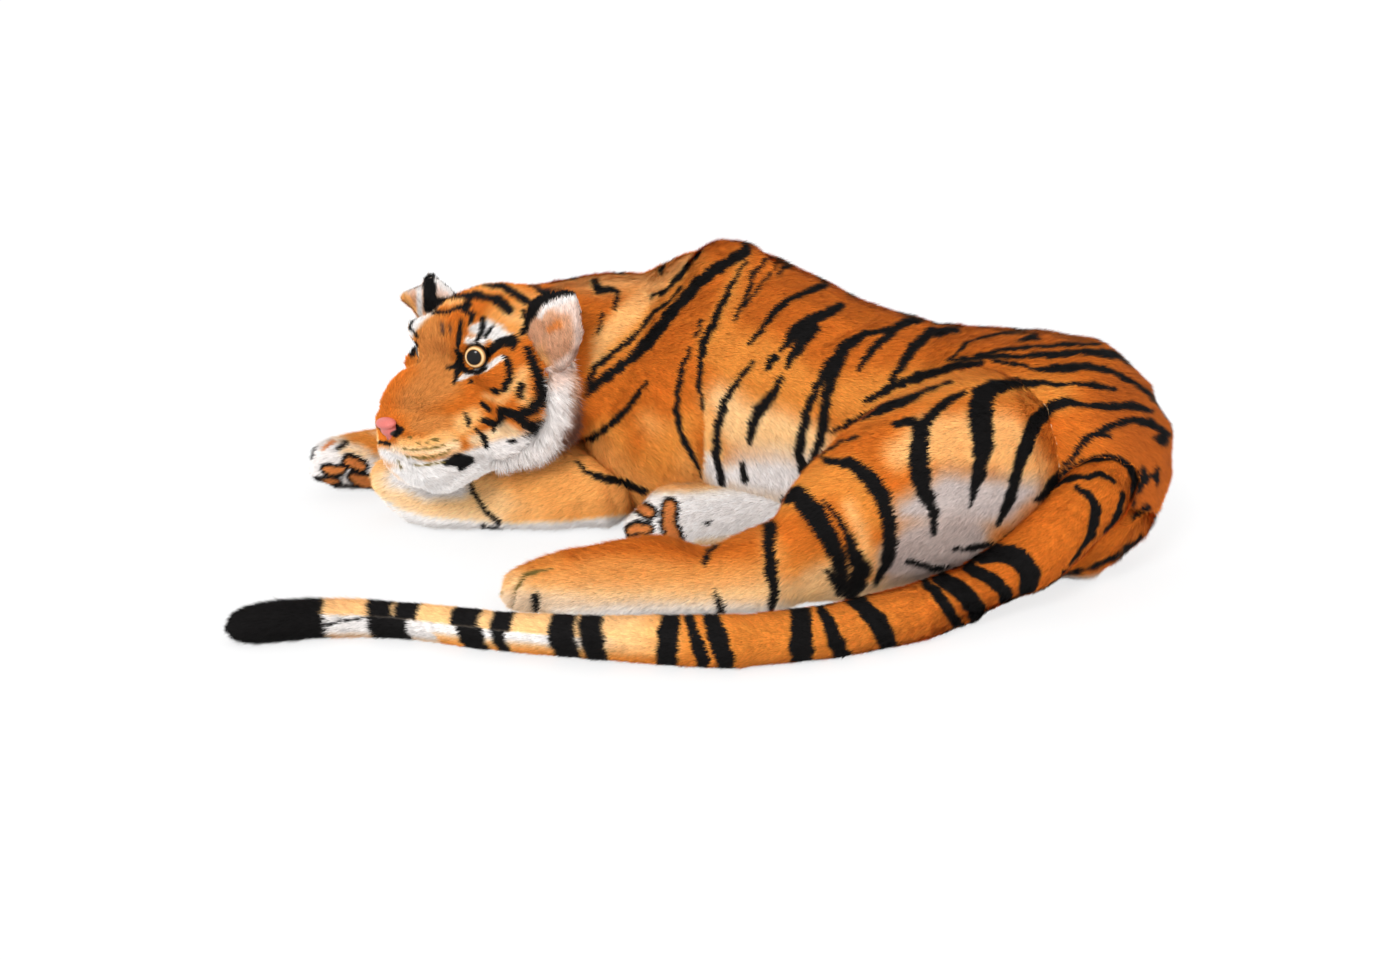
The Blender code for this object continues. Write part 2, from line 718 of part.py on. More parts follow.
def head_forms(forms, head):
    forms["skull"] = head_form(
        head, [(forth * SKULL_LENGTH, 0, up * SKULL_HEIGHT) for forth, up, _, _ in SKULL_SHARES],
        [SKULL_WIDTH * row[2] for row in SKULL_SHARES],
        [SKULL_HEIGHT * row[3] for row in SKULL_SHARES],
        (SKULL_BACK_DOME, SKULL_FRONT_DOME), 4, HEAD_SIDES)
    forms["muzzle"] = head_form(
        head, [(MUZZLE_START + along * MUZZLE_LENGTH, 0, -MUZZLE_DROP - drop * MUZZLE_HEIGHT)
               for along, drop, _, _ in MUZZLE_SHARES],
        [MUZZLE_WIDTH * row[2] for row in MUZZLE_SHARES],
        [MUZZLE_HEIGHT * row[3] for row in MUZZLE_SHARES],
        (0, MUZZLE_FRONT_DOME), 4, LIMB_SIDES)
    chin_end = CHIN_START + CHIN_LENGTH
    forms["chin"] = head_form(
        head, [(CHIN_START, 0, -CHIN_DROP), (chin_end, 0, -CHIN_DROP)],
        [CHIN_WIDTH, CHIN_WIDTH], [CHIN_HEIGHT, CHIN_HEIGHT], (CHIN_DOME, CHIN_DOME), 2,
        SMALL_SIDES)
    nose_end = NOSE_FORWARD + NOSE_LENGTH
    forms["nose"] = head_form(
        head, [(NOSE_FORWARD, 0, -NOSE_DROP), (nose_end, 0, -NOSE_DROP)],
        [NOSE_WIDTH, NOSE_WIDTH], [NOSE_HEIGHT, NOSE_HEIGHT], (NOSE_DOME, NOSE_DOME), 1,
        SMALL_SIDES)
    for side, sign in (("left", 1), ("right", -1)):
        forms[side + "_ruff"] = head_form(
            head, [(forth * RUFF_FALL, sign * out * RUFF_REACH, -down * RUFF_FALL)
                   for forth, down, out, _ in RUFF_SHARES],
            [RUFF_THICKNESS * row[3] for row in RUFF_SHARES],
            [RUFF_WIDTH * row[3] for row in RUFF_SHARES],
            (RUFF_DOME, RUFF_DOME), 4, RUFF_SIDES)


def ear_axes(head, sign):
    """The ear's sewn edge, the way out from it, and the middle of the edge."""
    mirror = Vector((1, sign, 1))
    turn = head.to_3x3()
    line = (turn @ (EAR_LINE * mirror)).normalized()
    out = turn @ (EAR_OUT * mirror)
    out = (out - line * out.dot(line)).normalized()
    left = Vector((LEFT_EAR_FORWARD, LEFT_EAR_ASIDE, LEFT_EAR_UP))
    right = Vector((RIGHT_EAR_FORWARD, -RIGHT_EAR_ASIDE, RIGHT_EAR_UP))
    return line, out, head @ (left if sign > 0 else right)


def ear_form(head, sign):
    line, out, middle = ear_axes(head, sign)
    points = [middle + out * along * EAR_LENGTH for along, _, _, _ in EAR_SHARES]
    return Form(points, [EAR_WIDTH * row[1] for row in EAR_SHARES],
                [EAR_THICKNESS * row[2] for row in EAR_SHARES],
                (EAR_THICKNESS / 2, EAR_DOME), 4, SMALL_SIDES, -sign * line,
                [EAR_CUP * row[3] for row in EAR_SHARES], (2.3, 2.3))


def tail_form():
    root = on_body(TAIL_ROOT_ALONG, TAIL_ROOT_ASIDE, 0)
    points = []
    for forward, outward, lift, thick in TAIL_SHARES:
        lying = TAIL_ROOT_WIDTH * thick / 2 - FLOOR_BITE
        points.append(root + Vector((-forward * TAIL_LENGTH, -outward * TAIL_LENGTH,
                                     max(lying, lift * TAIL_ROOT_HEIGHT))))
    sizes = [TAIL_ROOT_WIDTH * row[3] for row in TAIL_SHARES]
    return Form(points, sizes, sizes, (0, TAIL_TIP_DOME), len(sizes), TAIL_SIDES,
                fullness=(2, 2))


def tail_stretch(tail, start, end, rings, ball=0, tip_dome=0):
    """A piece of the tail's line, started by a ball or a flat end."""
    spots = [start + (end - start) * step / rings for step in range(rings + 1)]
    sizes = [smooth_value(tail.widths, spot) for spot in spots]
    return Form([tail.middle(spot) for spot in spots], sizes, sizes, (0, tip_dome), rings,
                TAIL_SIDES, fullness=(2, 2), ball=ball)


def eye_place(head, sign):
    """The eye's own axes: X out of the head, at the middle of its flat back."""
    aim = Vector((math.cos(EYE_TURN) * math.cos(EYE_RAISE),
                  sign * math.sin(EYE_TURN) * math.cos(EYE_RAISE), math.sin(EYE_RAISE)))
    spot = Vector((EYE_FORWARD, sign * EYE_ASIDE, EYE_UP))
    turn = aim.to_track_quat("X", "Z").to_matrix().to_4x4()
    return head @ Matrix.Translation(spot) @ turn


def eye_outline():
    """Dome, rim and shank, from the front to the shank's end."""
    radius = EYE_DIAMETER / 2
    outline = [(EYE_DOME, 0)]
    for step in range(1, EYE_DOME_STEPS + 1):
        lean = math.pi / 2 * step / EYE_DOME_STEPS
        outline.append((EYE_DOME * math.cos(lean), radius * math.sin(lean)))
    return outline + [(-EYE_RIM, radius), (-EYE_RIM, EYE_SHANK_DIAMETER / 2),
                      (-EYE_SHANK_LENGTH, EYE_SHANK_DIAMETER / 2), (-EYE_SHANK_LENGTH, 0)]


def eye_hollow_outline():
    """The hollow in the head for the eye, its shank and its washer."""
    flat = math.cos(math.pi / HOLLOW_SIDES)
    radius = (EYE_DIAMETER / 2 + EYE_CLEARANCE) / flat
    shank = (EYE_SHANK_DIAMETER / 2 + EYE_CLEARANCE) / flat
    washer = (WASHER_DIAMETER / 2 + EYE_CLEARANCE) / flat
    washer_front = -WASHER_SETBACK + EYE_CLEARANCE
    washer_back = -WASHER_SETBACK - WASHER_THICKNESS - EYE_CLEARANCE
    shank_end = -EYE_SHANK_LENGTH - EYE_CLEARANCE
    return [(OVERRUN, 0), (OVERRUN, radius), (-EYE_RIM - EYE_CLEARANCE, radius),
            (-EYE_RIM - EYE_CLEARANCE, shank), (washer_front, shank), (washer_front, washer),
            (washer_back, washer), (washer_back, shank), (shank_end, shank), (shank_end, 0)]


def washer_outline():
    bore = EYE_SHANK_DIAMETER / 2 + SEAM_GAP
    back = -WASHER_SETBACK - WASHER_THICKNESS
    return [(-WASHER_SETBACK, bore), (-WASHER_SETBACK, WASHER_DIAMETER / 2),
            (back, WASHER_DIAMETER / 2), (back, bore)]


def make_cutters(toy, forms, head):
    for name in ("trunk", "hips", "left_thigh", "right_thigh", "left_shoulder", "right_shoulder",
                 "neck", "left_forearm", "right_forearm", "left_shank", "right_shank", "skull",
                 "muzzle"):
        toy.cutter(name, forms[name].mesh(name + "_cutter", SEAM_GAP))
    lift_axis = head.to_3x3() @ Vector((0, -1, 0))
    toy.cutter("lifted_skull", swept_mesh(
        "lifted_skull", forms["skull"], head.translation, lift_axis,
        angles_between(0, HEAD_LIFT, SWEEP_STEPS)))
    for lowered, name in (("lowered_neck", "neck"), ("lowered_forearm", "left_forearm"),
                          ("lowered_forepaw", "left_forepaw")):
        toy.cutter(lowered, swept_mesh(lowered, forms[name], head.translation, lift_axis,
                                       angles_between(0, -HEAD_LIFT, SWEEP_STEPS)))
    for side, sign in (("left", 1), ("right", -1)):
        line, _, middle = ear_axes(head, sign)
        name = side + "_ear_fold"
        toy.cutter(name, swept_mesh(
            name, forms[side + "_ear"], middle, -sign * line,
            angles_between(EAR_FOLD_BACK, EAR_FOLD_FORWARD, SWEEP_STEPS)))
        toy.cutter(side + "_eye", turned_mesh(side + "_eye_cutter", eye_hollow_outline(),
                                              eye_place(head, sign), HOLLOW_SIDES))
    floor = bmesh.new()
    size = Vector((3 * (TRUNK_LENGTH + TAIL_LENGTH), 3 * (TRUNK_LENGTH + TAIL_LENGTH), OVERRUN))
    bmesh.ops.create_cube(floor, size=1, matrix=Matrix.Translation(
        (0, 0, -OVERRUN / 2)) @ Matrix.Diagonal((*size, 1)))
    toy.cutter("floor", as_mesh("floor_cutter", floor))


def make_body(toy, forms):
    for name, neighbours in (
            ("trunk", ("lifted_skull",)),
            ("right_thigh", ("trunk",)),
            ("hips", ("trunk", "right_thigh")),
            ("left_thigh", ("trunk", "hips", "right_thigh")),
            ("left_shoulder", ("trunk",)),
            ("right_shoulder", ("trunk",)),
            ("left_forearm", ("trunk", "left_shoulder")),
            ("right_forearm", ("trunk", "right_shoulder")),
            ("left_forepaw", ("left_forearm",)),
            ("right_forepaw", ("right_forearm", "left_forearm")),
            ("right_shank", ("trunk", "right_thigh", "left_thigh", "left_shoulder",
                             "left_forearm")),
            ("left_shank", ("left_thigh", "right_thigh", "right_shank")),
            ("left_hind_paw", ("left_shank",)),
            ("right_hind_paw", ("trunk", "left_shoulder", "left_forearm", "right_shank"))):
        toy.piece(name, forms[name].mesh(name), ORANGE)
        toy.cut(name, *neighbours, "floor")
    toy.piece("neck", forms["neck"].mesh("neck"), ORANGE)
    toy.cut("neck", "trunk", "left_shoulder", "right_shoulder", "left_forearm",
            "lifted_skull")


def make_head(toy, forms, head):
    toy.pivot("head_lift", head.translation)
    toy.piece("head", forms["skull"].mesh("head"), ORANGE, pivot="head_lift")
    toy.piece("muzzle", forms["muzzle"].mesh("muzzle"), PALE_ORANGE, pivot="head_lift")
    toy.piece("chin", forms["chin"].mesh("chin"), WHITE, pivot="head_lift")
    toy.piece("nose", forms["nose"].mesh("nose"), PINK, NOSE_ROUGHNESS, "head_lift")
    toy.cut("muzzle", "skull", "left_forearm", "left_eye", "right_eye")
    toy.cut("chin", "skull", "muzzle", "left_forearm")
    toy.cut("nose", "muzzle")
    toy.cut("head", "left_forearm", "left_eye", "right_eye")
    for side, sign in (("left", 1), ("right", -1)):
        toy.cut("head", side + "_ear_fold")
        ruff = side + "_ruff"
        toy.piece(ruff, forms[ruff].mesh(ruff), WHITE, pivot="head_lift")
        toy.cut(ruff, "skull", "muzzle", "lowered_forearm", "lowered_forepaw", "lowered_neck",
                side + "_ear_fold")
        place = eye_place(head, sign)
        toy.piece(side + "_eye", turned_mesh(side + "_eye", eye_outline(), place, EYE_SIDES),
                  GOLD, EYE_ROUGHNESS, "head_lift")
        washer = side + "_eye_washer"
        toy.piece(washer, turned_mesh(washer, washer_outline(), place, EYE_SIDES),
                  CLEAR_WHITE, WASHER_ROUGHNESS, "head_lift")
        ear = side + "_ear"
        toy.pivot(ear + "_fold", ear_axes(head, sign)[2], "head_lift")
        toy.piece(ear, forms[ear].mesh(ear), WHITE, pivot=ear + "_fold")


def make_tail(toy, tail):
    """The tail in five pieces; each one after the root starts with a ball."""
    names = ("tail_root", "tail_upper", "tail_middle", "tail_lower")
    starts = (0, *TAIL_BEND_SHARES)
    ends = (*TAIL_BEND_SHARES, TAIL_TUFT_SHARE)
    parent = None
    for name, start, end in zip(names, starts, ends):
        ball = 0
        if start:
            ball = smooth_value(tail.widths, start) / 2 * TAIL_BALL_SHARE
            toy.pivot(name + "_bend", tail.middle(start), parent)
            parent = name + "_bend"
        rings = max(2, round((end - start) * TAIL_RINGS))
        form = tail_stretch(tail, start, end, rings, ball)
        toy.piece(name, form.mesh(name), ORANGE, pivot=parent)
        if end in TAIL_BEND_SHARES:
            next_ball = smooth_value(tail.widths, end) / 2 * TAIL_BALL_SHARE
            toy.cutter(name + "_cup", ball_mesh(name + "_cup", tail.middle(end),
                                                next_ball + SEAM_GAP))
            toy.cut(name, name + "_cup")
        toy.cut(name, "floor")
    toy.cut("tail_root", "hips", "left_thigh", "right_thigh")
    toy.cutter("tuft_seat", tail_stretch(tail, starts[-1], TAIL_TUFT_SHARE, 2).mesh(
        "tuft_seat", SEAM_GAP))
    toy.piece("tail_tip", tail_stretch(tail, TAIL_TUFT_SHARE, 1, 3, tip_dome=TAIL_TIP_DOME).mesh(
        "tail_tip"), BLACK, pivot=parent)
    toy.cut("tail_tip", "tuft_seat", "floor")


def main():
    clear_scene()
    toy = Toy()
    head = head_frame()
    forms = {}
    body_forms(forms, head)
    foreleg_forms(forms)
    hind_leg_forms(forms)
    head_forms(forms, head)
    forms["left_ear"] = ear_form(head, 1)
    forms["right_ear"] = ear_form(head, -1)
    make_cutters(toy, forms, head)
    make_body(toy, forms)
    make_head(toy, forms, head)
    make_tail(toy, tail_form())


main()
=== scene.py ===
import json
import math
import bmesh
import bpy
import numpy as np
from mathutils import Matrix, Vector


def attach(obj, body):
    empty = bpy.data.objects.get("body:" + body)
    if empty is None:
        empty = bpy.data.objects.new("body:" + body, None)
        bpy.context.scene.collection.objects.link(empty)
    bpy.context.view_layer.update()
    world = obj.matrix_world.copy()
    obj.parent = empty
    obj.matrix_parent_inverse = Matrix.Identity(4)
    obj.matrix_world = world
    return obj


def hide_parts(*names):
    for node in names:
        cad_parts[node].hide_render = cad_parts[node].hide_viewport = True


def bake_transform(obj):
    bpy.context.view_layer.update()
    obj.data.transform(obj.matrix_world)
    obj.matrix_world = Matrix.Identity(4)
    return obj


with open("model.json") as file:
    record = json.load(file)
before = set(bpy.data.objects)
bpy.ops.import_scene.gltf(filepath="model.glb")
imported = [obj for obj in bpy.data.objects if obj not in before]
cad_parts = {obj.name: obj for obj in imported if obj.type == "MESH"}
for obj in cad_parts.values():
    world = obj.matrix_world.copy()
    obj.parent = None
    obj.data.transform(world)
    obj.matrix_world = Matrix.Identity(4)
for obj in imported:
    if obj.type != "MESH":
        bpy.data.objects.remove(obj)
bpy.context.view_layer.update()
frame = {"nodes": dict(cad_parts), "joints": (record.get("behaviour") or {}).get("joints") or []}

# The photograph's frame and its camera
PHOTO_WIDTH = 1400
PHOTO_HEIGHT = 960
FOCAL_PIXELS = 2046
SENSOR = 36.0
CAMERA_PLACE = Vector((-0.0214, -2.0938, 0.852))
CAMERA_AIM = Vector((-0.0214, -0.0268, 0.10))
AHEAD = (CAMERA_AIM - CAMERA_PLACE).normalized()
RIGHT = AHEAD.cross(Vector((0, 0, 1))).normalized()
UP = RIGHT.cross(AHEAD)

# Plush skins: the voxel sizes, the rounds that even them out and how far they then draw in
SKIN_VOXEL = 0.0032
FINE_VOXEL = 0.0024
EAR_VOXEL = 0.0016
NOSE_VOXEL = 0.0008
SKIN_ROUNDS = 9
TAIL_ROUNDS = 10
RUFF_ROUNDS = 8
EAR_ROUNDS = 6
NOSE_ROUNDS = 8
SKIN_INSET = 0.002
RUFF_INSET = 0.006
EAR_INSET = 0.0015

# How nodes are welded and swelled to meet, then evened out in plain rounds and in pairs that keep fullness
WELD = 0.00001
OVERLAP = 0.0008
EVEN_SHARE = 0.5
PUFF_SHARE = -0.52
PUFF_ROUNDS = 14

# The least heights of a skin and of a strand over the floor
FLOOR_GAP = 0.0004
LOWEST_STRAND = 0.0002

# Where soft steps start and end: metres, except the turn of a normal and the pixels at a spread's ends
SAG_HEIGHT = (0.06, 0.012)
SAG_SIDE = (0.3, -0.3)
SAG_EDGE = 20
FLOOR_FADE = (-0.004, 0.010)
SPINE_FADE = (-0.004, 0.010)
BELLY_FRONT = (-0.08, 0.04)
BELLY_REAR = (0.38, 0.30)

# Fur: its sizes in metres, its strands to a square metre and to a mesh, and the shares of its length
SHORT_PILE = 0.0085
TAIL_PILE = 0.0070
EAR_PILE = 0.0055
RUFF_PILE = 0.016
BLADE_WIDTH = 0.0012
RUFF_BLADE = 0.0010
STRANDS_TO_A_SQUARE_METRE = 950000
RUFF_STRANDS = 1200000
MOST_STRANDS = 150000
SHORTEST_STRAND = 0.65
LONGEST_STRAND = 1.3
COLOUR_REACH = 0.004
STRAND_CELL = ((0.12, 0.12), (0.88, 0.12), (0.5, 0.88))
MAP_SAMPLE = 5000

# The ways in which the pile is brushed
BODY_WAY = (0.62, -0.22, -0.10)
SIDE_WAY = (0.0, 0.0, -0.55)
LEG_WAY = (-0.85, -0.05, -0.35)
EAR_FLOW = (0.8, 0.3)
RUFF_MIDDLE = (0.03, 0.05, 0.0)
RUFF_SPREAD = (0.6, 1.0, 0.8)
RUFF_SWEEP = (-0.02, 0.0, -0.05)
FAR_RUFF_SHIFT = 0.02

# How the print lies on the plush: marks, bands and wobbles in pixels, the rest as shares
MARK_SWELL = 1.05
MARK_BLEED = 0.9
MARK_SOFTNESS = 2.4
FACE_MARK_SOFTNESS = 1.8
WHISKER_SOFTNESS = 1.5
PAD_SOFTNESS = 2
BAND_EDGE = 2
WOBBLE_PIXELS = 0.8
WHISKER_WEIGHT = (0.35, 0.60)
SEEN_EDGE = 0.22
UNEVENNESS = 0.04
STRAND_TONE = 0.09
LOCK_TONE = 0.08
PALEST = 0.95

# Ripples: how many waves they add and how these vary, then the sizes in metres and the seeds of each use
RIPPLE_WAVES = 7
RIPPLE_SPREAD = (0.6, 1.6)
RIPPLE_HEIGHT = 2.6
WOBBLE_SIZE = 0.018
WOBBLE_SEEDS = (8, 9)
WHISKER_DOTS = 0.007
WHISKER_SEED = 12
LOCK_SIZE = 0.005
MOTTLES = ((0.07, 5), (0.02, 6), (0.008, 7))

# Stripes made by rule: how they wander and fray, and their periods in metres
RING_WANDER = ((0.16, 0.30), (0.05, 0.06))
RING_EDGE = (0.70, 0.84)
RING_FRAY = 0.16
RING_FRAY_SIZE = 0.10
FORE_PERIOD = 0.072
HIND_PERIOD = 0.075
NAPE_PERIOD = 0.058
NAPE_SEED = 45

# Colours of the printed plush, as light values; some of them serve as painted shade and painted light
RUST = (0.43, 0.098, 0.012)
ORANGE = (0.62, 0.160, 0.016)
AMBER = (0.73, 0.280, 0.045)
PEACH = (0.88, 0.495, 0.175)
BUFF = (0.88, 0.580, 0.270)
CREAM = (0.90, 0.660, 0.400)
SNOW = (0.79, 0.755, 0.735)
# A brighter white; under the chin and along the legs' undersides it is painted light
MILK = (0.86, 0.835, 0.820)
# Greyed whites: painted shade on white fur that lies in shade
SHADE_GREY = (0.60, 0.520, 0.490)
DEEP_SHADE_GREY = (0.54, 0.440, 0.400)
HONEY = (0.78, 0.350, 0.085)
APRICOT = (0.86, 0.425, 0.115)
GINGER = (0.60, 0.225, 0.050)
SAND = (0.78, 0.600, 0.420)
OLIVE = (0.17, 0.120, 0.030)
UMBER = (0.11, 0.045, 0.028)
# A brown of painted shade, where the ear meets the ruff and down the ruff's edge
SHADE_BROWN = (0.32, 0.150, 0.095)
FAWN = (0.66, 0.370, 0.220)
BLUSH = (0.80, 0.640, 0.560)
INK = (0.0075, 0.0068, 0.0068)
PAD = (0.66, 0.230, 0.060)
ROSE = (0.54, 0.125, 0.105)
GILT = (0.86, 0.620, 0.310)
BRONZE = (0.36, 0.150, 0.040)

# Light: each lamp's name, place, spread in degrees and strength, and the floor they fall on
WHITE = (1, 1, 1, 1)
STUDIO_LIGHT = 0.88
LAMPS = (("key_light", (-0.9, -2.0, 1.7), 16, 1.78), ("fill_light", (1.8, -1.2, 1.6), 60, 0.6))
LAMP_AIM = (0, 0, 0.1)
FLOOR_GREY = (0.92, 0.92, 0.92, 1)
FLOOR_WHITE = 0.75
FLOOR_HALF = 8

# The glass eyes: centre and axis, then the sizes of the dome and its rings
EYES = (
    ("left_eye", Vector((-0.2616, 0.0210, 0.2244)), Vector((-0.2582, -0.957, 0.1323)).normalized()),
    ("right_eye", Vector((-0.3272, 0.0951, 0.2097)), Vector((-0.9866, -0.1631, 0.0029)).normalized()),
)
EYE_RADIUS = 0.0128
EYE_DOME = 0.0082
EYE_LIFT = 0.0022
EYE_BACK = 0.004
EYE_RINGS = 44
EYE_STEPS = 120
PUPIL = 0.0079
IRIS = 0.0115
IRIS_STREAKS = (53, 7, 31)
SOCKET_DEPTH = 0.004
SOCKET_REACH = 0.021
SOCKET_LIP = 0.02
SOCKET_HEIGHT = 0.03

# The ears: middle, the line up the ear, the way out to its free edge, and the way its hollow faces
EARS = (
    ("left_ear", Vector((-0.2010, 0.0456, 0.2323)), Vector((-0.4647, 0.2187, 0.858)),
     Vector((0.8197, -0.2602, 0.5103)), Vector((-0.335, -0.940, 0.058))),
    ("right_ear", Vector((-0.3130, 0.1382, 0.2314)), Vector((0.0316, -0.3222, 0.9462)),
     Vector((-0.2562, 0.9124, 0.3192)), Vector((-0.966, -0.253, -0.054))),
)
# Degrees by which the far ear's cover is turned about the upright
FAR_EAR_TURN = 24

# The head's own axes
HEAD_PLACE = Vector((-0.2394, 0.1102, 0.199))
HEAD_AXES = Matrix(((-0.7036, 0.6713, -0.2331), (-0.6795, -0.7316, -0.0557), (-0.2079, 0.1192, 0.9709)))
HEAD = Matrix.Translation(HEAD_PLACE) @ HEAD_AXES.to_4x4()

# Lumps of stuffing in the head's own axes: bridge and snout, then brow, lip, cheek and jowl on each side
MIDDLE_LUMPS = (
    ((0.098, 0, -0.004), (0.052, 0.051, 0.036)),
    ((0.144, 0, -0.026), (0.031, 0.039, 0.026)),
)
SIDE_LUMPS = (
    ((0.0675, 0.047, 0.048), (0.021, 0.021, 0.014)),
    ((0.134, 0.021, -0.046), (0.030, 0.026, 0.024)),
    ((0.036, 0.062, -0.030), (0.044, 0.026, 0.040)),
    ((0.060, 0.050, -0.070), (0.036, 0.020, 0.020)),
)

# The nose: its lumps, its nostrils' places and radii, out and up, and its middle
NOSE_LUMPS = (
    ((0.172, 0, -0.006), (0.009, 0.0155, 0.0060)),
    ((0.1705, 0, -0.014), (0.008, 0.0120, 0.008)),
    ((0.169, 0, -0.024), (0.007, 0.0075, 0.010)),
)
NOSTRIL = ((0.0125, 0.0045), (-0.0185, 0.005))
NOSE_PLACE = (0.170, 0, -0.016)

# Where the face's print gives way to the neck's, and the nape's stripes start, back along the head
HEAD_BACK = (-0.075, -0.045)
HEAD_COLUMN = (578, 588)
NAPE_BACK = (-0.05, -0.08)
NAPE_TURN = (-0.5, -0.1)

# Where the neck's skin starts and ends its bend
NECK_START = Vector((-0.105, 0.165, 0.185))
NECK_END = Vector((-0.215, 0.120, 0.197))

# The line along the top of the back, from the head to the rump
SPINE = (
    (-0.30, 0.23, 0.20), (-0.20, 0.215, 0.193), (-0.121, 0.195, 0.172), (0.059, 0.13, 0.148),
    (0.262, 0.056, 0.118), (0.402, 0.002, 0.125), (0.49, -0.03, 0.11),
)

# The tail's middle line, root to tip
TAIL_LINE = (
    (0.4089, -0.0571, 0.1280), (0.3966, -0.0864, 0.1178), (0.3764, -0.1135, 0.1014),
    (0.3487, -0.1271, 0.0792), (0.3157, -0.1423, 0.0554), (0.2790, -0.1603, 0.0346),
    (0.2453, -0.1862, 0.0300), (0.2026, -0.2146, 0.0291), (0.1460, -0.2440, 0.0274),
    (0.0855, -0.2670, 0.0266), (0.0184, -0.2816, 0.0261), (-0.0664, -0.2811, 0.0251),
    (-0.1435, -0.2716, 0.0235), (-0.2020, -0.2549, 0.0214), (-0.2629, -0.2353, 0.0200),
    (-0.3213, -0.2171, 0.0192), (-0.3659, -0.2105, 0.0190), (-0.4025, -0.2113, 0.0194),
    (-0.4325, -0.2186, 0.0204), (-0.4554, -0.2229, 0.0197), (-0.4700, -0.2248, 0.0184),
)

# Each length of the tail: its joint, the bodies before and after it, its share of the way, its nodes
TAIL_LENGTHS = (
    ("tail_upper_bend", "torso", "tail_upper", -9.0, 0.40, ["tail_root"]),
    ("tail_middle_bend", "tail_upper", "tail_middle", 0.40, 0.60, ["tail_upper", "tail_middle"]),
    ("tail_lower_bend", "tail_middle", "tail_end", 0.60, 9.0, ["tail_lower", "tail_tip"]),
)
BEND_REACH = 0.022
TAIL_SEED = 51
FLOW_STEP = 0.03

# Brush marks in the photograph's own pixels: x, y and width at each point of a line
SHOULDER_MARKS = (
    ((701, 252, 3), (682, 274, 4), (667, 291, 3), (652, 298, 2)),
    ((682, 289, 1.5), (667, 304, 2.5), (654, 314, 3), (637, 333, 4), (619, 347, 5), (592, 368, 5),
     (583, 391, 5)),
    ((744, 244, 5), (746, 253, 9), (732, 261, 9), (713, 272, 10), (698, 285, 10), (684, 301, 10),
     (671, 314, 10), (658, 331, 10), (646, 345, 10), (629, 360, 9), (612, 372, 9), (598, 381, 8),
     (581, 395, 8)),
    ((746, 262, 1.5), (734, 280, 3), (725, 299, 5), (713, 326, 6), (703, 345, 6), (700, 364, 5),
     (699, 383, 4), (702, 408, 2)),
    ((702, 320, 2), (696, 337, 3)),
    ((690, 349, 2), (682, 368, 4), (677, 393, 5), (677, 416, 5), (684, 440, 5), (694, 460, 3),
     (700, 474, 1.5)),
    ((647, 383, 2), (637, 396, 4), (623, 414, 5), (606, 429, 6), (591, 438, 6), (577, 438, 5)),
    ((577, 462, 1.5), (587, 473, 3), (608, 479, 5), (627, 483, 7), (646, 490, 4)),
    ((594, 283, 5), (598, 292, 8), (613, 291, 4), (617, 294, 3), (614, 308, 3)),
    ((612, 272, 2.5), (625, 273, 3)),
    ((652, 268, 2), (665, 265, 3), (661, 274, 3)),
    ((692, 254, 3), (701, 251, 4)),
    ((601.5, 313, 1.5), (597, 333, 2.5)),
)
FLANK_MARKS = (
    ((766, 259, 2), (753, 273, 4), (751, 284, 3), (744, 303, 2.5), (734, 320, 2)),
    ((778, 261, 1.5), (763, 282, 1.5), (744, 307, 1.5)),
    ((778, 260, 3), (791, 265, 5), (782, 269, 4), (775, 278, 1.5)),
    ((826, 285, 5), (807, 293, 5), (788, 301, 5), (774, 312, 6), (763, 328, 5), (749, 345, 2)),
    ((840, 308, 7), (817, 318, 10), (805, 326, 14), (793, 334, 11), (782, 350, 3)),
    ((811, 329, 13), (799, 345, 11), (786, 368, 3)),
    ((776, 356, 6), (767, 368, 5)),
    ((753, 362, 2), (740, 377, 4), (727, 398, 6), (719, 418, 7), (716, 437, 7), (717, 456, 7), (723, 484, 5)),
    ((782, 376, 3), (772, 395, 8), (761, 408, 10), (753, 423, 9), (750, 443, 3)),
    ((743, 463, 5), (745, 479, 5)),
    ((890, 330, 4), (864, 335, 6), (844, 348, 9), (828, 366, 8), (818, 384, 7), (808, 407, 7), (802, 432, 8),
     (799, 453, 9), (804, 470, 9)),
    ((846, 352, 6), (832, 376, 9), (825, 399, 9), (823, 425, 9), (818, 448, 7), (808, 469, 6)),
    ((923, 319, 7), (902, 325, 8), (882, 341, 7), (869, 353, 6), (858, 371, 2)),
    ((957, 332, 5), (930, 334, 9), (913, 348, 9), (900, 366, 8), (890, 383, 5)),
    ((1025, 333, 2.5), (999, 335, 2.5), (969, 343, 2.5), (951, 360, 2)),
    ((1035, 339, 6), (1017, 343, 2)),
    ((1099, 346, 2), (1073, 346, 2.5), (1035, 348, 2.5), (999, 352, 2.5), (974, 357, 2)),
    ((1132, 365, 6), (1119, 357, 7), (1086, 353, 5), (1048, 356, 5), (1017, 358, 4), (984, 358, 4),
     (948, 362, 2)),
    ((1165, 412, 5), (1150, 397, 5), (1132, 384, 4), (1109, 372, 4), (1086, 367, 7), (1061, 370, 7),
     (1035, 370, 4), (1010, 365, 3), (992, 362, 2)),
)
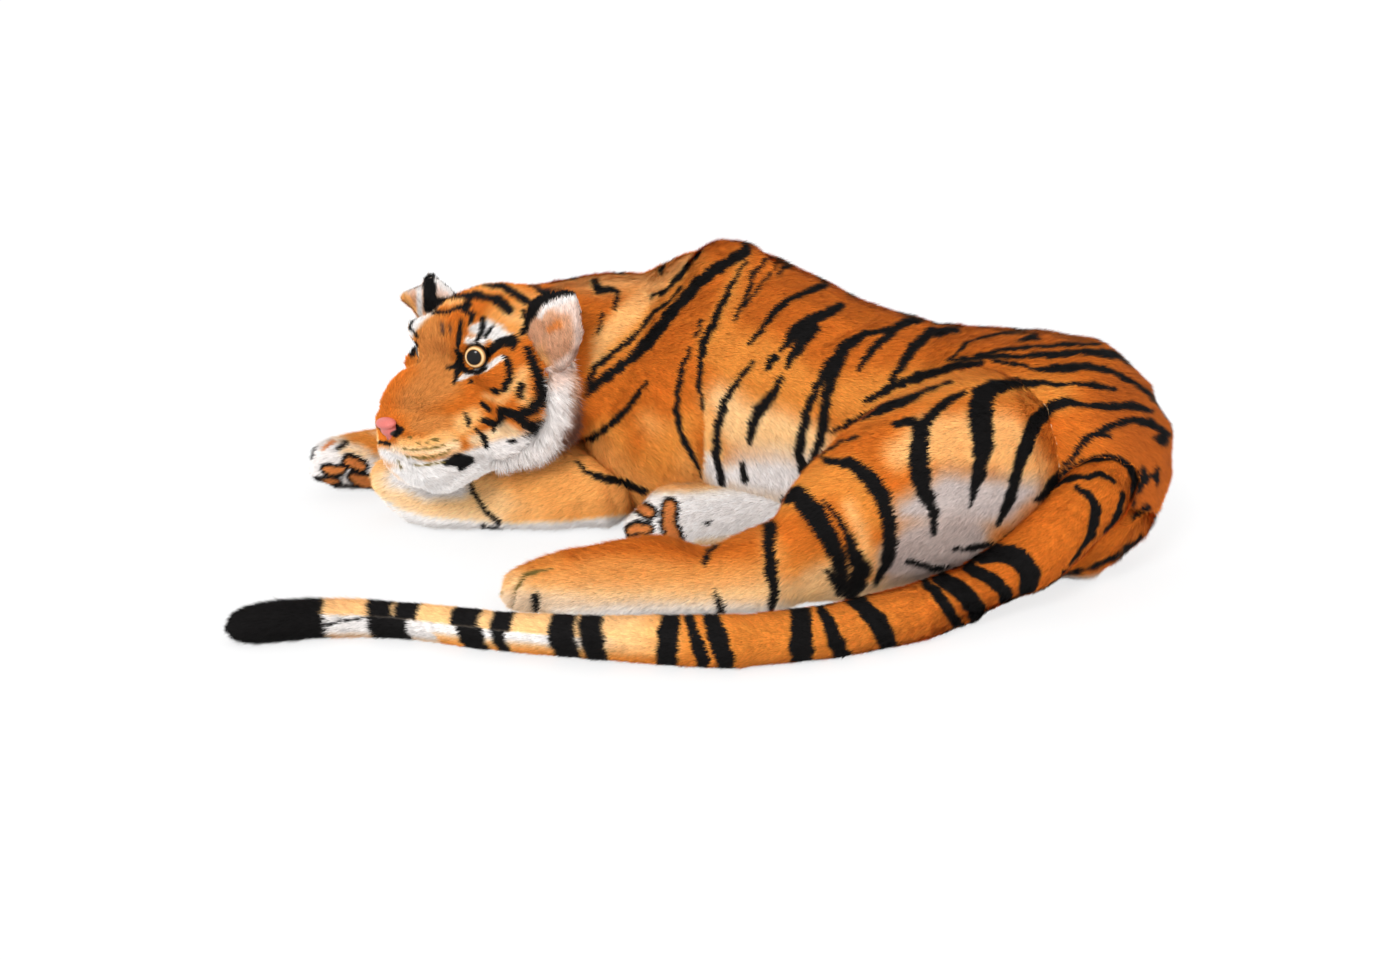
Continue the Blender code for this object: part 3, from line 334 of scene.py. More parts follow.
THIGH_MARKS = (
    ((981, 365, 5), (959, 367, 7), (933, 374, 8), (908, 381, 8), (887, 389, 7), (864, 402, 3)),
    ((953, 384, 2), (933, 390, 4), (906, 403, 8), (882, 411, 9), (854, 421, 7), (831, 432, 2)),
    ((860, 438, 2), (841, 444, 2), (823, 455, 2)),
    ((1035, 384, 5), (1015, 384, 9), (994, 389, 15), (982, 399, 22), (980, 420, 22), (984, 443, 19),
     (978, 473, 11), (970, 504, 3)),
    ((1114, 390, 3), (1096, 386, 5), (1073, 384, 3), (1055, 386, 4), (1037, 384, 3)),
    ((1150, 412, 3), (1130, 406, 8), (1107, 408, 6), (1086, 406, 4), (1068, 402, 7), (1050, 408, 10),
     (1035, 422, 14), (1025, 445, 12), (1017, 471, 10), (1010, 496, 9), (997, 524, 3)),
    ((1163, 435, 8), (1147, 422, 6), (1127, 422, 4), (1107, 427, 6), (1086, 438, 6), (1073, 455, 4),
     (1061, 468, 2), (1048, 483, 4), (1038, 499, 5)),
    ((1130, 504, 2), (1133, 483, 5), (1130, 468, 7), (1114, 458, 8), (1094, 459, 7), (1073, 466, 5),
     (1058, 476, 4), (1045, 491, 5)),
    ((1114, 483, 3), (1099, 476, 5), (1081, 478, 5), (1061, 483, 5), (1045, 494, 5)),
    ((1121, 496, 5), (1117, 514, 6), (1104, 532, 2)),
    ((1140, 468, 4), (1142, 478, 10), (1137, 489, 3)),
    ((1155, 466, 3), (1154, 483, 3)),
    ((1145, 476, 4), (1154, 474, 4)),
    ((1145, 506, 7), (1132, 519, 2)),
    ((1155, 439, 8), (1161, 441, 8)),
    ((1097, 436, 3), (1108, 435, 4)),
    ((1140, 537, 5), (1112, 557, 4), (1086, 568, 2.5), (1061, 573, 1.5)),
    ((965, 393, 3), (946, 404, 8), (928, 420, 10), (922, 432, 14), (919, 453, 17), (920, 473, 20),
     (924, 489, 16), (933, 509, 10), (934, 531, 5)),
    ((896, 425, 5), (913, 422, 8), (923, 430, 9)),
    ((821, 457, 2), (831, 463, 5), (851, 463, 10), (869, 476, 15), (882, 494, 16), (888, 514, 13),
     (891, 540, 14), (888, 557, 12), (877, 580, 5)),
    ((785, 499, 8), (800, 496, 18), (816, 514, 20), (828, 534, 18), (839, 557, 15), (844, 580, 10),
     (845, 592, 4)),
    ((826, 501, 1.5), (839, 517, 4), (848, 534, 7), (854, 552, 12), (862, 568, 18), (856, 585, 14),
     (848, 601, 5)),
    ((828, 570, 5), (836, 580, 8), (840, 593, 3)),
    ((908, 560, 6), (933, 566, 4), (948, 566, 2)),
    ((953, 548, 2), (969, 548, 4), (989, 543, 4)),
)
SHANK_MARKS = (
    ((766, 521, 8), (772, 528, 14), (770, 549, 10), (772, 572, 11), (774, 591, 8), (771, 609, 4)),
    ((720, 546, 3), (710, 553, 5), (704, 566, 3)),
    ((716, 592, 2), (721, 606, 7), (725, 617, 3)),
    ((537, 596, 6), (536.5, 606, 6)),
)
FORELEG_MARKS = (
    ((470, 484, 3), (477, 496, 4), (486, 510, 4), (499, 522, 4)),
    ((484, 524, 3), (500, 529, 4)),
)
FAR_PAW_MARKS = (
    ((347, 443.6, 3), (340, 449.4, 3.5)),
    ((317, 446, 1.5), (314, 457, 2)),
    ((317, 476, 2), (330, 483, 2), (346, 484, 2), (372, 487, 2.5)),
)
FAR_SOLE_MARKS = (
    ((657, 487, 2), (652, 493, 3)),
    ((706, 522, 1.5), (708, 524.5, 2), (711, 522, 1.5)),
)
HEAD_MARKS = (
    ((434, 301, 3), (446, 300.5, 3), (460, 299, 3), (474, 297, 4)),
    ((467, 300.5, 4), (477, 297, 7), (486, 300.5, 5)),
    ((484, 287, 4), (500, 287.6, 6), (510, 293.6, 6), (522, 301, 7), (531, 307, 5)),
    ((488, 300.5, 5), (498, 303, 9), (508, 311.7, 9)),
    ((529, 286, 4), (545, 296, 5)),
    ((532, 286, 4), (557, 282, 4), (576, 279, 3)),
    ((563, 282, 4), (560, 289, 4), (545, 293, 3)),
    ((522, 313, 4), (527, 322, 8), (526, 329, 9), (520, 334, 3)),
    ((409, 329, 1.5), (414, 320, 2), (426, 313, 3), (446, 315, 3), (460, 310, 4), (470, 306, 5)),
    ((470, 306, 4), (464, 312, 4), (474, 317, 4), (470, 324, 2)),
    ((407, 325, 0.8), (415, 331, 1.2), (419, 336, 1.5)),
    ((462, 322, 2), (461, 334, 4), (458.5, 349, 5), (462, 356, 5)),
    ((483, 320, 4), (483, 329, 5), (479, 341, 2)),
    ((492, 329, 3), (486, 337, 3)),
    ((488, 356, 4), (493, 349, 8), (501, 343, 9), (512, 341, 9), (512, 348, 5)),
    ((455, 384, 2), (457, 374, 5), (462, 366, 9), (462, 356, 6)),
    ((448, 369, 2), (455, 367, 5), (461, 364, 9)),
    ((461, 368, 8), (470, 371, 5), (480, 371.5, 3), (488, 367, 2)),
    ((505, 356, 2), (508, 363, 5), (509, 377, 6), (504, 389, 5)),
    ((495, 390, 5), (498, 391, 5)),
    ((520, 384, 5), (521, 386, 4)),
    ((518, 389, 5), (517.5, 396, 5)),
    ((482.6, 403, 4), (489.5, 410, 5)),
    ((470, 381.5, 3), (473, 381, 3)),
    ((525.6, 349, 6), (531, 363, 9), (537.5, 379, 10), (536, 396, 10), (526, 410, 10), (513.6, 413, 8),
     (501.5, 410, 7)),
    ((505, 411, 7), (500, 420, 6), (493, 423.6, 7), (482.6, 420, 4)),
    ((493, 423.6, 5), (494, 432, 2)),
    ((513.6, 413, 7), (522, 422, 7), (531, 425, 7), (527, 429, 5), (520.5, 434, 2)),
    ((531, 418, 3), (536, 419, 3)),
    ((465, 413, 2), (469, 424, 4)),
    ((476, 429, 2), (483, 437, 5), (487, 446, 5)),
    ((510, 441, 4), (512, 440.5, 4)),
    ((378.5, 424.5, 3), (385, 434.8, 3)),
    ((375, 441, 1.5), (384.5, 445, 2.5), (391, 446.5, 2.5)),
    ((396, 425, 7), (403.5, 429.5, 6), (397.5, 434, 7)),
    ((446, 462.3, 5), (457, 459, 12), (469, 459.8, 8), (460, 466.7, 6)),
    ((413, 353, 5), (414, 347, 7), (415, 341, 4)),
)
WHISKER_MARKS = (
    ((412, 437, 2), (413, 437.5, 2)),
    ((428, 442.5, 2), (430, 442.5, 2)),
    ((435, 440, 3), (437, 440, 3)),
    ((419, 443.5, 1), (421, 443.5, 1)),
    ((455, 440.8, 2), (456, 441, 2)),
    ((405, 449.4, 0.8), (412, 451, 1.2), (424, 449.4, 0.8), (438, 447.7, 1.2), (446, 444.3, 0.8)),
    ((407, 457, 0.8), (419, 458, 1.4), (431, 457, 1.4), (443, 454.6, 1.4), (453, 447.7, 0.8)),
    ((415, 466, 0.8), (431, 465, 1.2), (445, 462, 1.4)),
    ((399, 462, 1.5), (400, 463, 1.5)),
    ((402, 467, 1.5), (403, 468, 1.5)),
)
EAR_MARKS = (
    ((525, 328, 6), (528, 316, 11), (536, 302, 13), (552, 292, 11), (569, 290, 7), (582, 293, 5)),
)
TAIL_MARKS = (
    ((328, 624, 1), (340, 621, 1.6), (356, 619.5, 1.2), (372, 618, 1)),
    ((1076, 489, 4), (1091, 499, 8), (1095, 514, 9), (1090, 534, 7), (1078, 552, 3), (1068, 565, 1.5)),
    ((945, 568, 4), (971, 559, 10), (996, 554, 17), (1017, 559, 19), (1029, 574, 19), (1025, 592, 13)),
    ((966, 568, 9), (988, 579, 12), (1004, 593, 12), (1004, 607, 10)),
    ((937, 578, 12), (958, 590, 17), (973, 606, 18), (977, 620, 14)),
    ((923, 584, 7), (934, 592, 9), (944, 606, 10), (957, 626, 10)),
    ((846, 600, 7), (862, 607, 16), (876, 622, 18), (884, 638, 17), (890, 652, 14)),
    ((818, 610, 6), (827, 622, 11), (833, 640, 14), (842, 656, 15)),
    ((799, 610, 18), (800, 640, 21), (801, 666, 22)),
    ((709, 616, 14), (714, 630, 17), (720, 648, 18), (725, 664, 16)),
    ((688, 616, 7), (692, 632, 10), (698, 648, 12), (702, 662, 12)),
    ((671, 616, 15), (667, 635, 20), (666, 662, 19)),
)

# The thigh's marks that run on over the far rump and the tail's root
RUMP_COLUMN = 1030
RUMP_MARKS = tuple(line for line in THIGH_MARKS if min(spot[0] for spot in line) > RUMP_COLUMN)

# Sole pads: the dark outline's width, then the orange pad's middle line as above
FAR_PAW_PADS = (
    (3.5, ((350, 461, 8), (355, 463, 9), (362, 466, 8))),
    (3.0, ((327, 468, 5), (334, 470, 8), (342, 469, 5))),
    (3.0, ((322, 479, 3), (331, 480, 6), (338, 480, 4))),
    (3.5, ((354, 475, 6), (362, 479, 10), (372, 482, 12))),
)
FAR_SOLE_PADS = (
    (3.5, ((642, 508, 9), (651, 513, 9))),
    (3.5, ((634, 530, 8), (640, 528, 9), (648, 529, 8))),
    (4.0, ((671, 506, 9), (670, 514, 10), (669, 523, 9), (673, 533, 12), (675, 542, 12))),
)

# Soft patches of colour, painted under the marks, among them patches of painted shade and of painted light:
# colour, softness, then a brush line
BODY_PATCHES = (
    (AMBER, 30, ((725, 350, 50), (760, 370, 70), (800, 390, 50))),
    (BUFF, 30, ((722, 400, 36), (740, 424, 52), (780, 434, 52), (812, 444, 44))),
    (SNOW, 36, ((722, 474, 30), (745, 474, 46), (775, 476, 52), (812, 482, 52))),
    (PEACH, 5, ((704, 400, 3), (709, 430, 13), (714, 452, 22))),
    (SNOW, 10, ((709, 456, 10), (716, 480, 24))),
    (AMBER, 26, ((700, 262, 16), (650, 300, 34), (615, 340, 34), (592, 362, 20))),
    (ORANGE, 8, ((592, 308, 12), (594, 325, 16), (590, 345, 12), (584, 362, 8))),
    # Painted light: paler peach on the top of the neck and along its fold, where light falls on them
    (PEACH, 24, ((560, 282, 14), (600, 284, 24), (640, 280, 22), (672, 262, 12))),
    (PEACH, 14, ((690, 258, 8), (654, 288, 20), (626, 316, 25), (600, 342, 20), (594, 361, 10))),
    (HONEY, 26, ((648, 420, 20), (668, 440, 34), (684, 462, 24))),
    (AMBER, 30, ((610, 440, 40), (620, 500, 50), (690, 420, 20))),
    (HONEY, 30, ((596, 446, 30), (620, 480, 40), (650, 500, 40), (690, 490, 30))),
    (AMBER, 24, ((740, 262, 14), (730, 300, 20), (712, 340, 20))),
    (AMBER, 30, ((850, 400, 50), (900, 390, 40), (960, 385, 30), (1060, 395, 30))),
    (PEACH, 24, ((880, 450, 30), (930, 440, 50), (1000, 440, 60), (1030, 470, 40))),
    # Painted shade: greyed white on the thigh's underside and behind the tail
    (SHADE_GREY, 30, ((868, 530, 20), (900, 500, 40), (950, 500, 60), (1000, 500, 50), (1030, 490, 24))),
    (DEEP_SHADE_GREY, 22, ((872, 570, 30), (910, 550, 60), (960, 540, 60))),
    (RUST, 50, ((1120, 400, 60), (1150, 450, 60), (1140, 500, 60))),
)
HEAD_PATCHES = (
    (GINGER, 20, ((430, 330, 34), (440, 380, 44), (416, 400, 36))),
    (HONEY, 14, ((470, 288, 10), (500, 292, 10), (540, 300, 10), (500, 320, 30), (515, 330, 20))),
    (PEACH, 10, ((508, 318, 12), (520, 322, 8), (530, 335, 8))),
    (PEACH, 8, ((430, 306, 4), (450, 305, 6), (462, 303, 5))),
    (SNOW, 6, ((407, 336, 10), (411, 324, 18), (420, 317, 16), (432, 314, 7))),
    (UMBER, 3, ((443, 325, 3), (444, 334, 3))),
    (UMBER, 3, ((450.7, 327, 2.5), (451.6, 334, 2.5))),
    (SNOW, 5, ((474, 330, 10), (486, 330, 18), (498, 335, 16), (508, 338, 8))),
    (SNOW, 5, ((470, 340, 8), (484, 341, 8))),
    (SNOW, 3, ((460, 380, 4), (470, 374, 6), (488, 367, 7), (502, 358, 6))),
    (PEACH, 10, ((505, 395, 10), (522, 372, 12), (520, 400, 10))),
    (PEACH, 8, ((500, 400, 8), (486, 395, 6))),
    (PEACH, 14, ((462, 425, 24), (475, 415, 16))),
    (GINGER, 14, ((420, 425, 20), (440, 425, 24))),
    (PEACH, 10, ((404, 444, 12), (425, 446, 16), (448, 440, 20))),
    (CREAM, 10, ((395, 450, 8), (430, 453, 8), (455, 446, 12))),
    (CREAM, 8, ((500, 425, 12), (510, 430, 14), (490, 435, 12), (474, 440, 12))),
    (SNOW, 8, ((380, 452, 8), (392, 458, 14), (430, 470, 18), (470, 462, 26), (500, 452, 24),
     (530, 440, 18))),
    # Painted light: a brighter white under the chin, where it lies in shade
    (MILK, 8, ((395, 475, 18), (430, 486, 36), (470, 480, 30), (520, 460, 30))),
    (SNOW, 6, ((542, 380, 8), (545, 410, 12), (537, 434, 18), (515, 450, 18), (500, 456, 16))),
)
HIND_PATCHES = (
    (AMBER, 30, ((850, 400, 50), (900, 390, 40), (960, 385, 30), (1060, 395, 30))),
    (PEACH, 24, ((900, 455, 30), (930, 440, 50), (1000, 440, 60), (1030, 470, 40))),
    # Painted shade: greyed white on the thigh's underside and behind the tail
    (SHADE_GREY, 30, ((905, 510, 26), (950, 500, 60), (1000, 500, 50), (1030, 490, 24))),
    (DEEP_SHADE_GREY, 22, ((895, 560, 40), (920, 550, 60), (960, 540, 60))),
    (AMBER, 26, ((780, 500, 30), (820, 480, 40), (850, 480, 40), (872, 520, 20))),
    (PEACH, 20, ((850, 506, 12), (862, 535, 16), (868, 560, 16))),
    (HONEY, 30, ((540, 580, 20), (600, 566, 40), (700, 572, 44), (760, 560, 50))),
    (ORANGE, 24, ((570, 556, 12), (600, 548, 20), (650, 546, 24), (700, 554, 22), (750, 548, 26))),
    (BUFF, 28, ((516, 584, 26), (530, 597, 26), (600, 598, 28), (700, 600, 28), (800, 593, 34),
     (830, 575, 30))),
    (SAND, 18, ((506, 602, 24), (530, 604, 26), (600, 611, 26), (700, 612, 26), (800, 612, 22))),
    # Painted light: a brighter white along the shank's shaded underside
    (MILK, 16, ((556, 614, 8), (620, 615, 18), (700, 615, 20), (784, 613, 14))),
    # Painted shade: olive-brown lines down the toe creases
    (OLIVE, 2, ((553.8, 570, 2.5), (540, 572, 3.5), (525.6, 576, 3), (517, 588, 2.5), (514, 606, 2))),
    (OLIVE, 2, ((506, 574, 2), (503, 588, 2.5), (504, 603, 2))),
)
FORELEG_PATCHES = (
    (BUFF, 30, ((390, 490, 40), (440, 510, 40), (500, 504, 30))),
    (CREAM, 18, ((384, 480, 16), (400, 504, 16), (430, 516, 14), (500, 520, 10))),
    (SNOW, 14, ((398, 478, 20), (430, 486, 30), (460, 488, 22))),
    (APRICOT, 26, ((520, 470, 44), (580, 490, 54), (630, 500, 44))),
    # Painted light: a brighter white along the foreleg's shaded underside
    (MILK, 6, ((380, 498, 8), (400, 514, 13), (430, 523, 14), (500, 528, 13), (560, 526, 12),
     (625, 519, 11))),
)
FAR_PAW_PATCHES = (
    (AMBER, 12, ((352, 440, 8), (366, 440, 16), (378, 446, 18))),
    (CREAM, 10, ((345, 450, 8), (365, 455, 8))),
    (PAD, 2, ((334, 442.5, 3), (325, 449.4, 3))),
)
FAR_SOLE_PATCHES = (
    (PEACH, 10, ((655, 488, 8), (690, 487, 9), (725, 483, 10))),
    (PEACH, 14, ((700, 545, 8), (740, 540, 6))),
)
EAR_PATCHES = (
    (FAWN, 10, ((546, 320, 22), (563, 322, 28), (560, 346, 30), (557, 366, 14))),
    (PAD, 7, ((550, 328, 6), (558, 323, 9))),
    (BLUSH, 9, ((560, 308, 8), (576, 308, 12), (581, 335, 14), (576, 352, 10), (560, 366, 14))),
    (SNOW, 5, ((540, 315, 5), (548, 305, 7), (571, 297, 7), (582, 296, 7))),
    # Painted shade: brown where the ear's lower edge meets the ruff
    (SHADE_BROWN, 11, ((578, 350, 6), (579, 372, 10))),
)
FAR_EAR_PATCHES = (
    (INK, 3, ((430, 268, 12), (431, 290, 13), (431, 305, 14))),
    (SNOW, 4, ((438, 280, 6), (445, 285, 9), (452, 290, 7))),
    (INK, 3, ((434, 300, 8), (446, 300, 7), (458, 300, 6))),
    (SNOW, 3, ((420, 276, 6), (420, 294, 6), (420, 312, 6))),
    (PEACH, 4, ((400, 293, 6), (407, 299, 12), (412, 308, 10))),
)
RUFF_PATCHES = (
    (BLUSH, 12, ((548, 366, 14), (556, 380, 14), (566, 372, 14))),
    # Painted shade: browns where the ruff meets the ear and down its far edge
    (FAWN, 10, ((572, 372, 8), (574, 398, 10))),
    (SHADE_BROWN, 8, ((578, 386, 4), (575, 402, 9), (571, 424, 14), (562, 440, 10))),
    (UMBER, 7, ((577, 400, 4), (574, 414, 8), (569, 428, 10), (561, 440, 7))),
)

# Pushes that bring the skins' outlines to the photograph's: pixel, reach across and down, then the move
BODY_PUSHES = (
    (560, 272, 45, 30, 0, 6), (690, 262, 30, 20, 0, -3), (725, 240, 20, 20, 0, -2),
    (698, 250, 14, 14, -2, -4), (770, 252, 30, 20, 0, -3), (780, 262, 24, 14, 0, -2),
    (855, 292, 35, 20, 0, 4), (928, 320, 25, 20, 0, -6), (1005, 324, 45, 20, 0, 6),
    (1105, 345, 30, 24, 2, -7), (1160, 398, 24, 26, -6, 3), (1168, 500, 20, 28, 10, 0),
    (1130, 560, 34, 34, -10, -9), (388, 406, 20, 22, -15, 0), (400, 376, 14, 14, -7, 0),
    (410, 361, 14, 13, -9, 0), (402, 333, 9, 8, 4, 0), (1150, 512, 24, 20, 6, 8), (414, 318, 16, 12, -8, -6),
    (520, 278, 60, 22, 0, 3),
)
FAR_PAW_PUSHES = (
    (345, 432, 40, 14, 0, 5), (345, 488, 40, 12, 0, -10), (314, 450, 8, 20, 3, 0),
)
FAR_HIND_PUSHES = (
    *BODY_PUSHES,
    (665, 505, 45, 26, -4, -20),
    (740, 500, 50, 26, 0, -10),
    (636, 520, 16, 26, -14, 2),
    (1154, 524, 24, 18, -5, 0),
    (1122, 566, 26, 18, -7, 0),
)
FORELEG_PUSHES = (
    (385, 512, 26, 26, 14, -6),
)
SHANK_PUSHES = (
    (540, 555, 30, 26, 0, 3), (592, 540, 34, 36, 0, 3), (711, 513, 38, 44, 0, 25), (766, 503, 30, 40, 0, 12),
    (503, 575, 12, 30, 3, 0),
)
TAIL_PUSHES = (
    (970, 623, 30, 20, 0, -12), (1012, 604, 32, 20, 0, -7), (1055, 578, 26, 24, 0, 3),
    (590, 662, 70, 22, 0, -11), (440, 648, 90, 16, 0, -6),
)
EAR_PUSHES = (
    (538, 306, 13, 15, -7, -3), (590, 330, 16, 26, -6, 0), (560, 298, 20, 16, 0, -8),
    (580, 302, 12, 12, 2, -7), (560, 362, 20, 18, 0, 12),
)
FAR_EAR_PUSHES = (
    (430, 290, 60, 60, 7, -2), (448, 290, 13, 15, 10, -3), (408, 283, 9, 11, 8, 4), (404, 299, 9, 9, -9, 0),
    (448, 282, 11, 14, 5, -2), (430, 273, 14, 9, 3, -3),
)
RUFF_PUSHES = (
    (592, 400, 40, 60, -11, 0), (515, 486, 46, 26, -5, -21), (566, 466, 26, 24, -4, -14),
)

# Folds pressed into the skins: depth in metres, softness in pixels, then a line as above
BODY_FOLDS = (
    (0.005, 12, ((702, 405, 4), (702, 440, 6), (701, 482, 8))),
    (0.004, 16, ((868, 318, 6), (840, 330, 8), (815, 345, 8), (800, 352, 4))),
    (0.003, 12, ((596, 380, 4), (600, 420, 6), (630, 450, 6), (660, 480, 6))),
)
HEAD_FOLDS = (
    (0.0040, 5, ((392, 454, 3), (408, 463, 3), (431, 461, 3), (446, 458, 4), (458, 456, 4))),
    (0.0025, 8, ((470, 306, 6), (440, 316, 6), (415, 322, 6))),
)
FORELEG_FOLDS = (
    (0.0022, 7, ((540, 487, 3), (541, 515, 3))),
    (0.0022, 7, ((561, 495, 3), (567, 512, 3))),
    (0.0022, 7, ((584, 495, 3), (585, 512, 3))),
    (0.0022, 7, ((612, 492, 3), (620, 508, 3))),
)
HIND_FOLDS = (
    (0.0040, 5, ((556, 569, 2), (531, 575, 4), (518, 590, 4), (514, 608, 4))),
    (0.0030, 5, ((540, 586, 2), (535, 592, 4), (531, 606, 4))),
)

# The tail's dark bands, as pixels along its middle line: those all round, those on its upper and
# lower strips, and those on the root's hidden side
TAIL_BANDS = (
    (606, 583), (579, 555), (328, 200),
)
TAIL_TOP_BANDS = (
    (517, 497), (484, 458), (422, 399), (396, 372),
)
TAIL_LOW_BANDS = (
    (511, 498), (490, 464), (412, 374),
)
TAIL_ROOT_BANDS = (
    (1034, 1012), (1003, 988), (977, 950), (944, 932), (880, 858), (840, 823), (811, 789), (728, 706),
    (700, 688), (681, 659),
)


class Socket:
    """A shader socket whose arithmetic adds Math nodes."""

    def __init__(self, finish, socket):
        self.finish = finish
        self.socket = socket

    def math(self, operation, other):
        return self.finish.node("ShaderNodeMath", {"operation": operation}, {0: self, 1: other})["Value"]

    def __add__(self, other):
        return self.math("ADD", other)

    def __mul__(self, other):
        return self.math("MULTIPLY", other)

    __radd__ = __add__
    __rmul__ = __mul__


class Finish:
    """A material or a world whose nodes all come from one method."""

    def __init__(self, name, owner=None):
        self.material = owner or bpy.data.materials.new(name)
        self.material.use_nodes = True
        self.tree = self.material.node_tree
        self.tree.nodes.clear()

    def node(self, kind, settings, inputs):
        """Adds a node and gives back its outputs by name."""
        made = self.tree.nodes.new(kind)
        for key, value in settings.items():
            if key == "stops":
                for stop, (place, colour) in zip(made.color_ramp.elements, value):
                    stop.position = place
                    stop.color = (*colour, 1)
            else:
                setattr(made, key, value)
        for key, value in inputs.items():
            if isinstance(value, Socket):
                self.tree.links.new(value.socket, made.inputs[key])
            else:
                made.inputs[key].default_value = value
        return {output.name: Socket(self, output) for output in made.outputs}

    def noise(self, scale, detail):
        place = self.node("ShaderNodeTexCoord", {}, {})["Object"]
        return self.node("ShaderNodeTexNoise", {}, {"Vector": place, "Scale": scale, "Detail": detail})["Fac"]

    def attribute(self, name, output):
        return self.node("ShaderNodeAttribute", {"attribute_name": name}, {})[output]

    def coat(self, tone):
        """The colour painted on a mesh, made lighter or darker by a number."""
        inputs = {0: self.attribute("coat", "Color"), "Scale": tone}
        return self.node("ShaderNodeVectorMath", {"operation": "SCALE"}, inputs)["Vector"]

    def bump(self, height, strength, distance):
        sizes = {"Height": height, "Strength": strength, "Distance": distance}
        return self.node("ShaderNodeBump", {}, sizes)["Normal"]

    def shade(self, **sockets):
        names = {key.replace("_", " "): value for key, value in sockets.items()}
        shader = self.node("ShaderNodeBsdfPrincipled", {}, names)["BSDF"]
        self.node("ShaderNodeOutputMaterial", {}, {"Surface": shader})
        return self.material


def plush_ground():
    """The woven backing and the pile's roots, seen between the strands."""
    finish = Finish("plush_ground")
    colour = finish.coat(finish.noise(scale=900, detail=3) * 0.5 + 0.50)
    normal = finish.bump(finish.noise(scale=1400, detail=2), strength=0.5, distance=0.001)
    return finish.shade(Base_Color=colour, Roughness=0.95, Normal=normal, Specular_IOR_Level=0.05)


def plush_strands():
    """The pile itself: its colour is painted on, and its roots are painted darker than its tips, as painted
    shade deep in the pile.
    """
    finish = Finish("plush_strands")
    tip = finish.attribute("tip", "Fac") * 0.30
    colour = finish.coat(tip + finish.noise(scale=600, detail=2) * 0.26 + 0.80)
    rough = finish.noise(scale=90, detail=2) * 0.2 + 0.72
    return finish.shade(Base_Color=colour, Roughness=rough, Specular_IOR_Level=0.10)


def eye_glass():
    """A painted eye under clear, polished glass."""
    finish = Finish("eye_glass")
    colour = finish.coat(finish.noise(scale=2200, detail=3) * 0.24 + 0.88)
    normal = finish.bump(finish.noise(scale=420, detail=2), strength=0.06, distance=0.0004)
    return finish.shade(Base_Color=colour, Roughness=0.35, Normal=normal, Coat_Weight=0.3,
                        Coat_Roughness=0.03, Specular_IOR_Level=0.05)


def nose_leather():
    """Soft moulded leather with a fine pebble."""
    finish = Finish("nose_leather")
    colour = finish.coat(finish.noise(scale=500, detail=4) * 0.30 + 0.86)
    normal = finish.bump(finish.noise(scale=1600, detail=3), strength=0.45, distance=0.0006)
    rough = finish.noise(scale=700, detail=3) * 0.16 + 0.40
    return finish.shade(Base_Color=colour, Roughness=rough, Normal=normal, Coat_Weight=0.12)


def washer_plastic():
    """The clear plastic of the washers behind the eyes."""
    finish = Finish("washer_plastic")
    stops = ((0.3, (0.70, 0.72, 0.72)), (0.7, (0.82, 0.83, 0.82)))
    share = finish.noise(scale=260, detail=4)
    colour = finish.node("ShaderNodeValToRGB", {"stops": stops}, {0: share})["Color"]
    normal = finish.bump(finish.noise(scale=900, detail=3), strength=0.15, distance=0.0003)
    return finish.shade(Base_Color=colour, Roughness=0.30, Normal=normal)


def pixels(places):
    """Where points fall in the photograph, and the unit direction from each to the camera."""
    away = places - np.array(CAMERA_PLACE)
    depth = away @ np.array(AHEAD)
    across = PHOTO_WIDTH / 2 + FOCAL_PIXELS * (away @ np.array(RIGHT)) / depth
    down = PHOTO_HEIGHT / 2 - FOCAL_PIXELS * (away @ np.array(UP)) / depth
    sight = -away / np.linalg.norm(away, axis=1)[:, None]
    return np.stack([across, down], 1), sight


def ease(low, high, value):
    """A soft step from 0 at low to 1 at high, where low may be the larger."""
    share = np.clip((value - low) / (high - low), 0, 1)
    return share * share * (3 - 2 * share)


def seen_share(normals, sight):
    """1 where a surface faces the camera, fading to 0 at its outline."""
    return ease(0.0, SEEN_EDGE, (normals * sight).sum(1))


def brushed(spots, line, softness):
    """How much of a brush line covers each spot, from 0 to 1."""
    covered = np.zeros(len(spots))
    reach = max(row[2] for row in line) / 2 + softness + 1
    xs = [row[0] for row in line]
    ys = [row[1] for row in line]
    near = np.flatnonzero((spots[:, 0] > min(xs) - reach) & (spots[:, 0] < max(xs) + reach)
                          & (spots[:, 1] > min(ys) - reach) & (spots[:, 1] < max(ys) + reach))
    if not len(near):
        return covered
    chosen = spots[near]
    best = np.full(len(near), -np.inf)
    for (x0, y0, width0), (x1, y1, width1) in zip(line, line[1:]):
        start = np.array((x0, y0), float)
        step = np.array((x1 - x0, y1 - y0), float)
        share = np.clip((chosen - start) @ step / max(step @ step, 1e-9), 0, 1)
        gap = np.linalg.norm(chosen - start - share[:, None] * step, axis=1)
        best = np.maximum(best, (width0 + (width1 - width0) * share) / 2 - gap)
    covered[near] = ease(-softness / 2, softness / 2, best)
    return covered


def ripple(places, size, seed):
    """A smooth wandering value from about -1 to 1."""
    chance = np.random.default_rng(seed)
    total = np.zeros(len(places))
    for _ in range(RIPPLE_WAVES):
        way = chance.normal(size=3)
        way *= chance.uniform(*RIPPLE_SPREAD) / (np.linalg.norm(way) * size) * 2 * math.pi
        total += np.sin(places @ way + chance.uniform(0, 2 * math.pi))
    return total / RIPPLE_HEIGHT


def plain(colour, places):
    """One colour at every place."""
    return np.tile(np.array(colour), (len(places), 1))


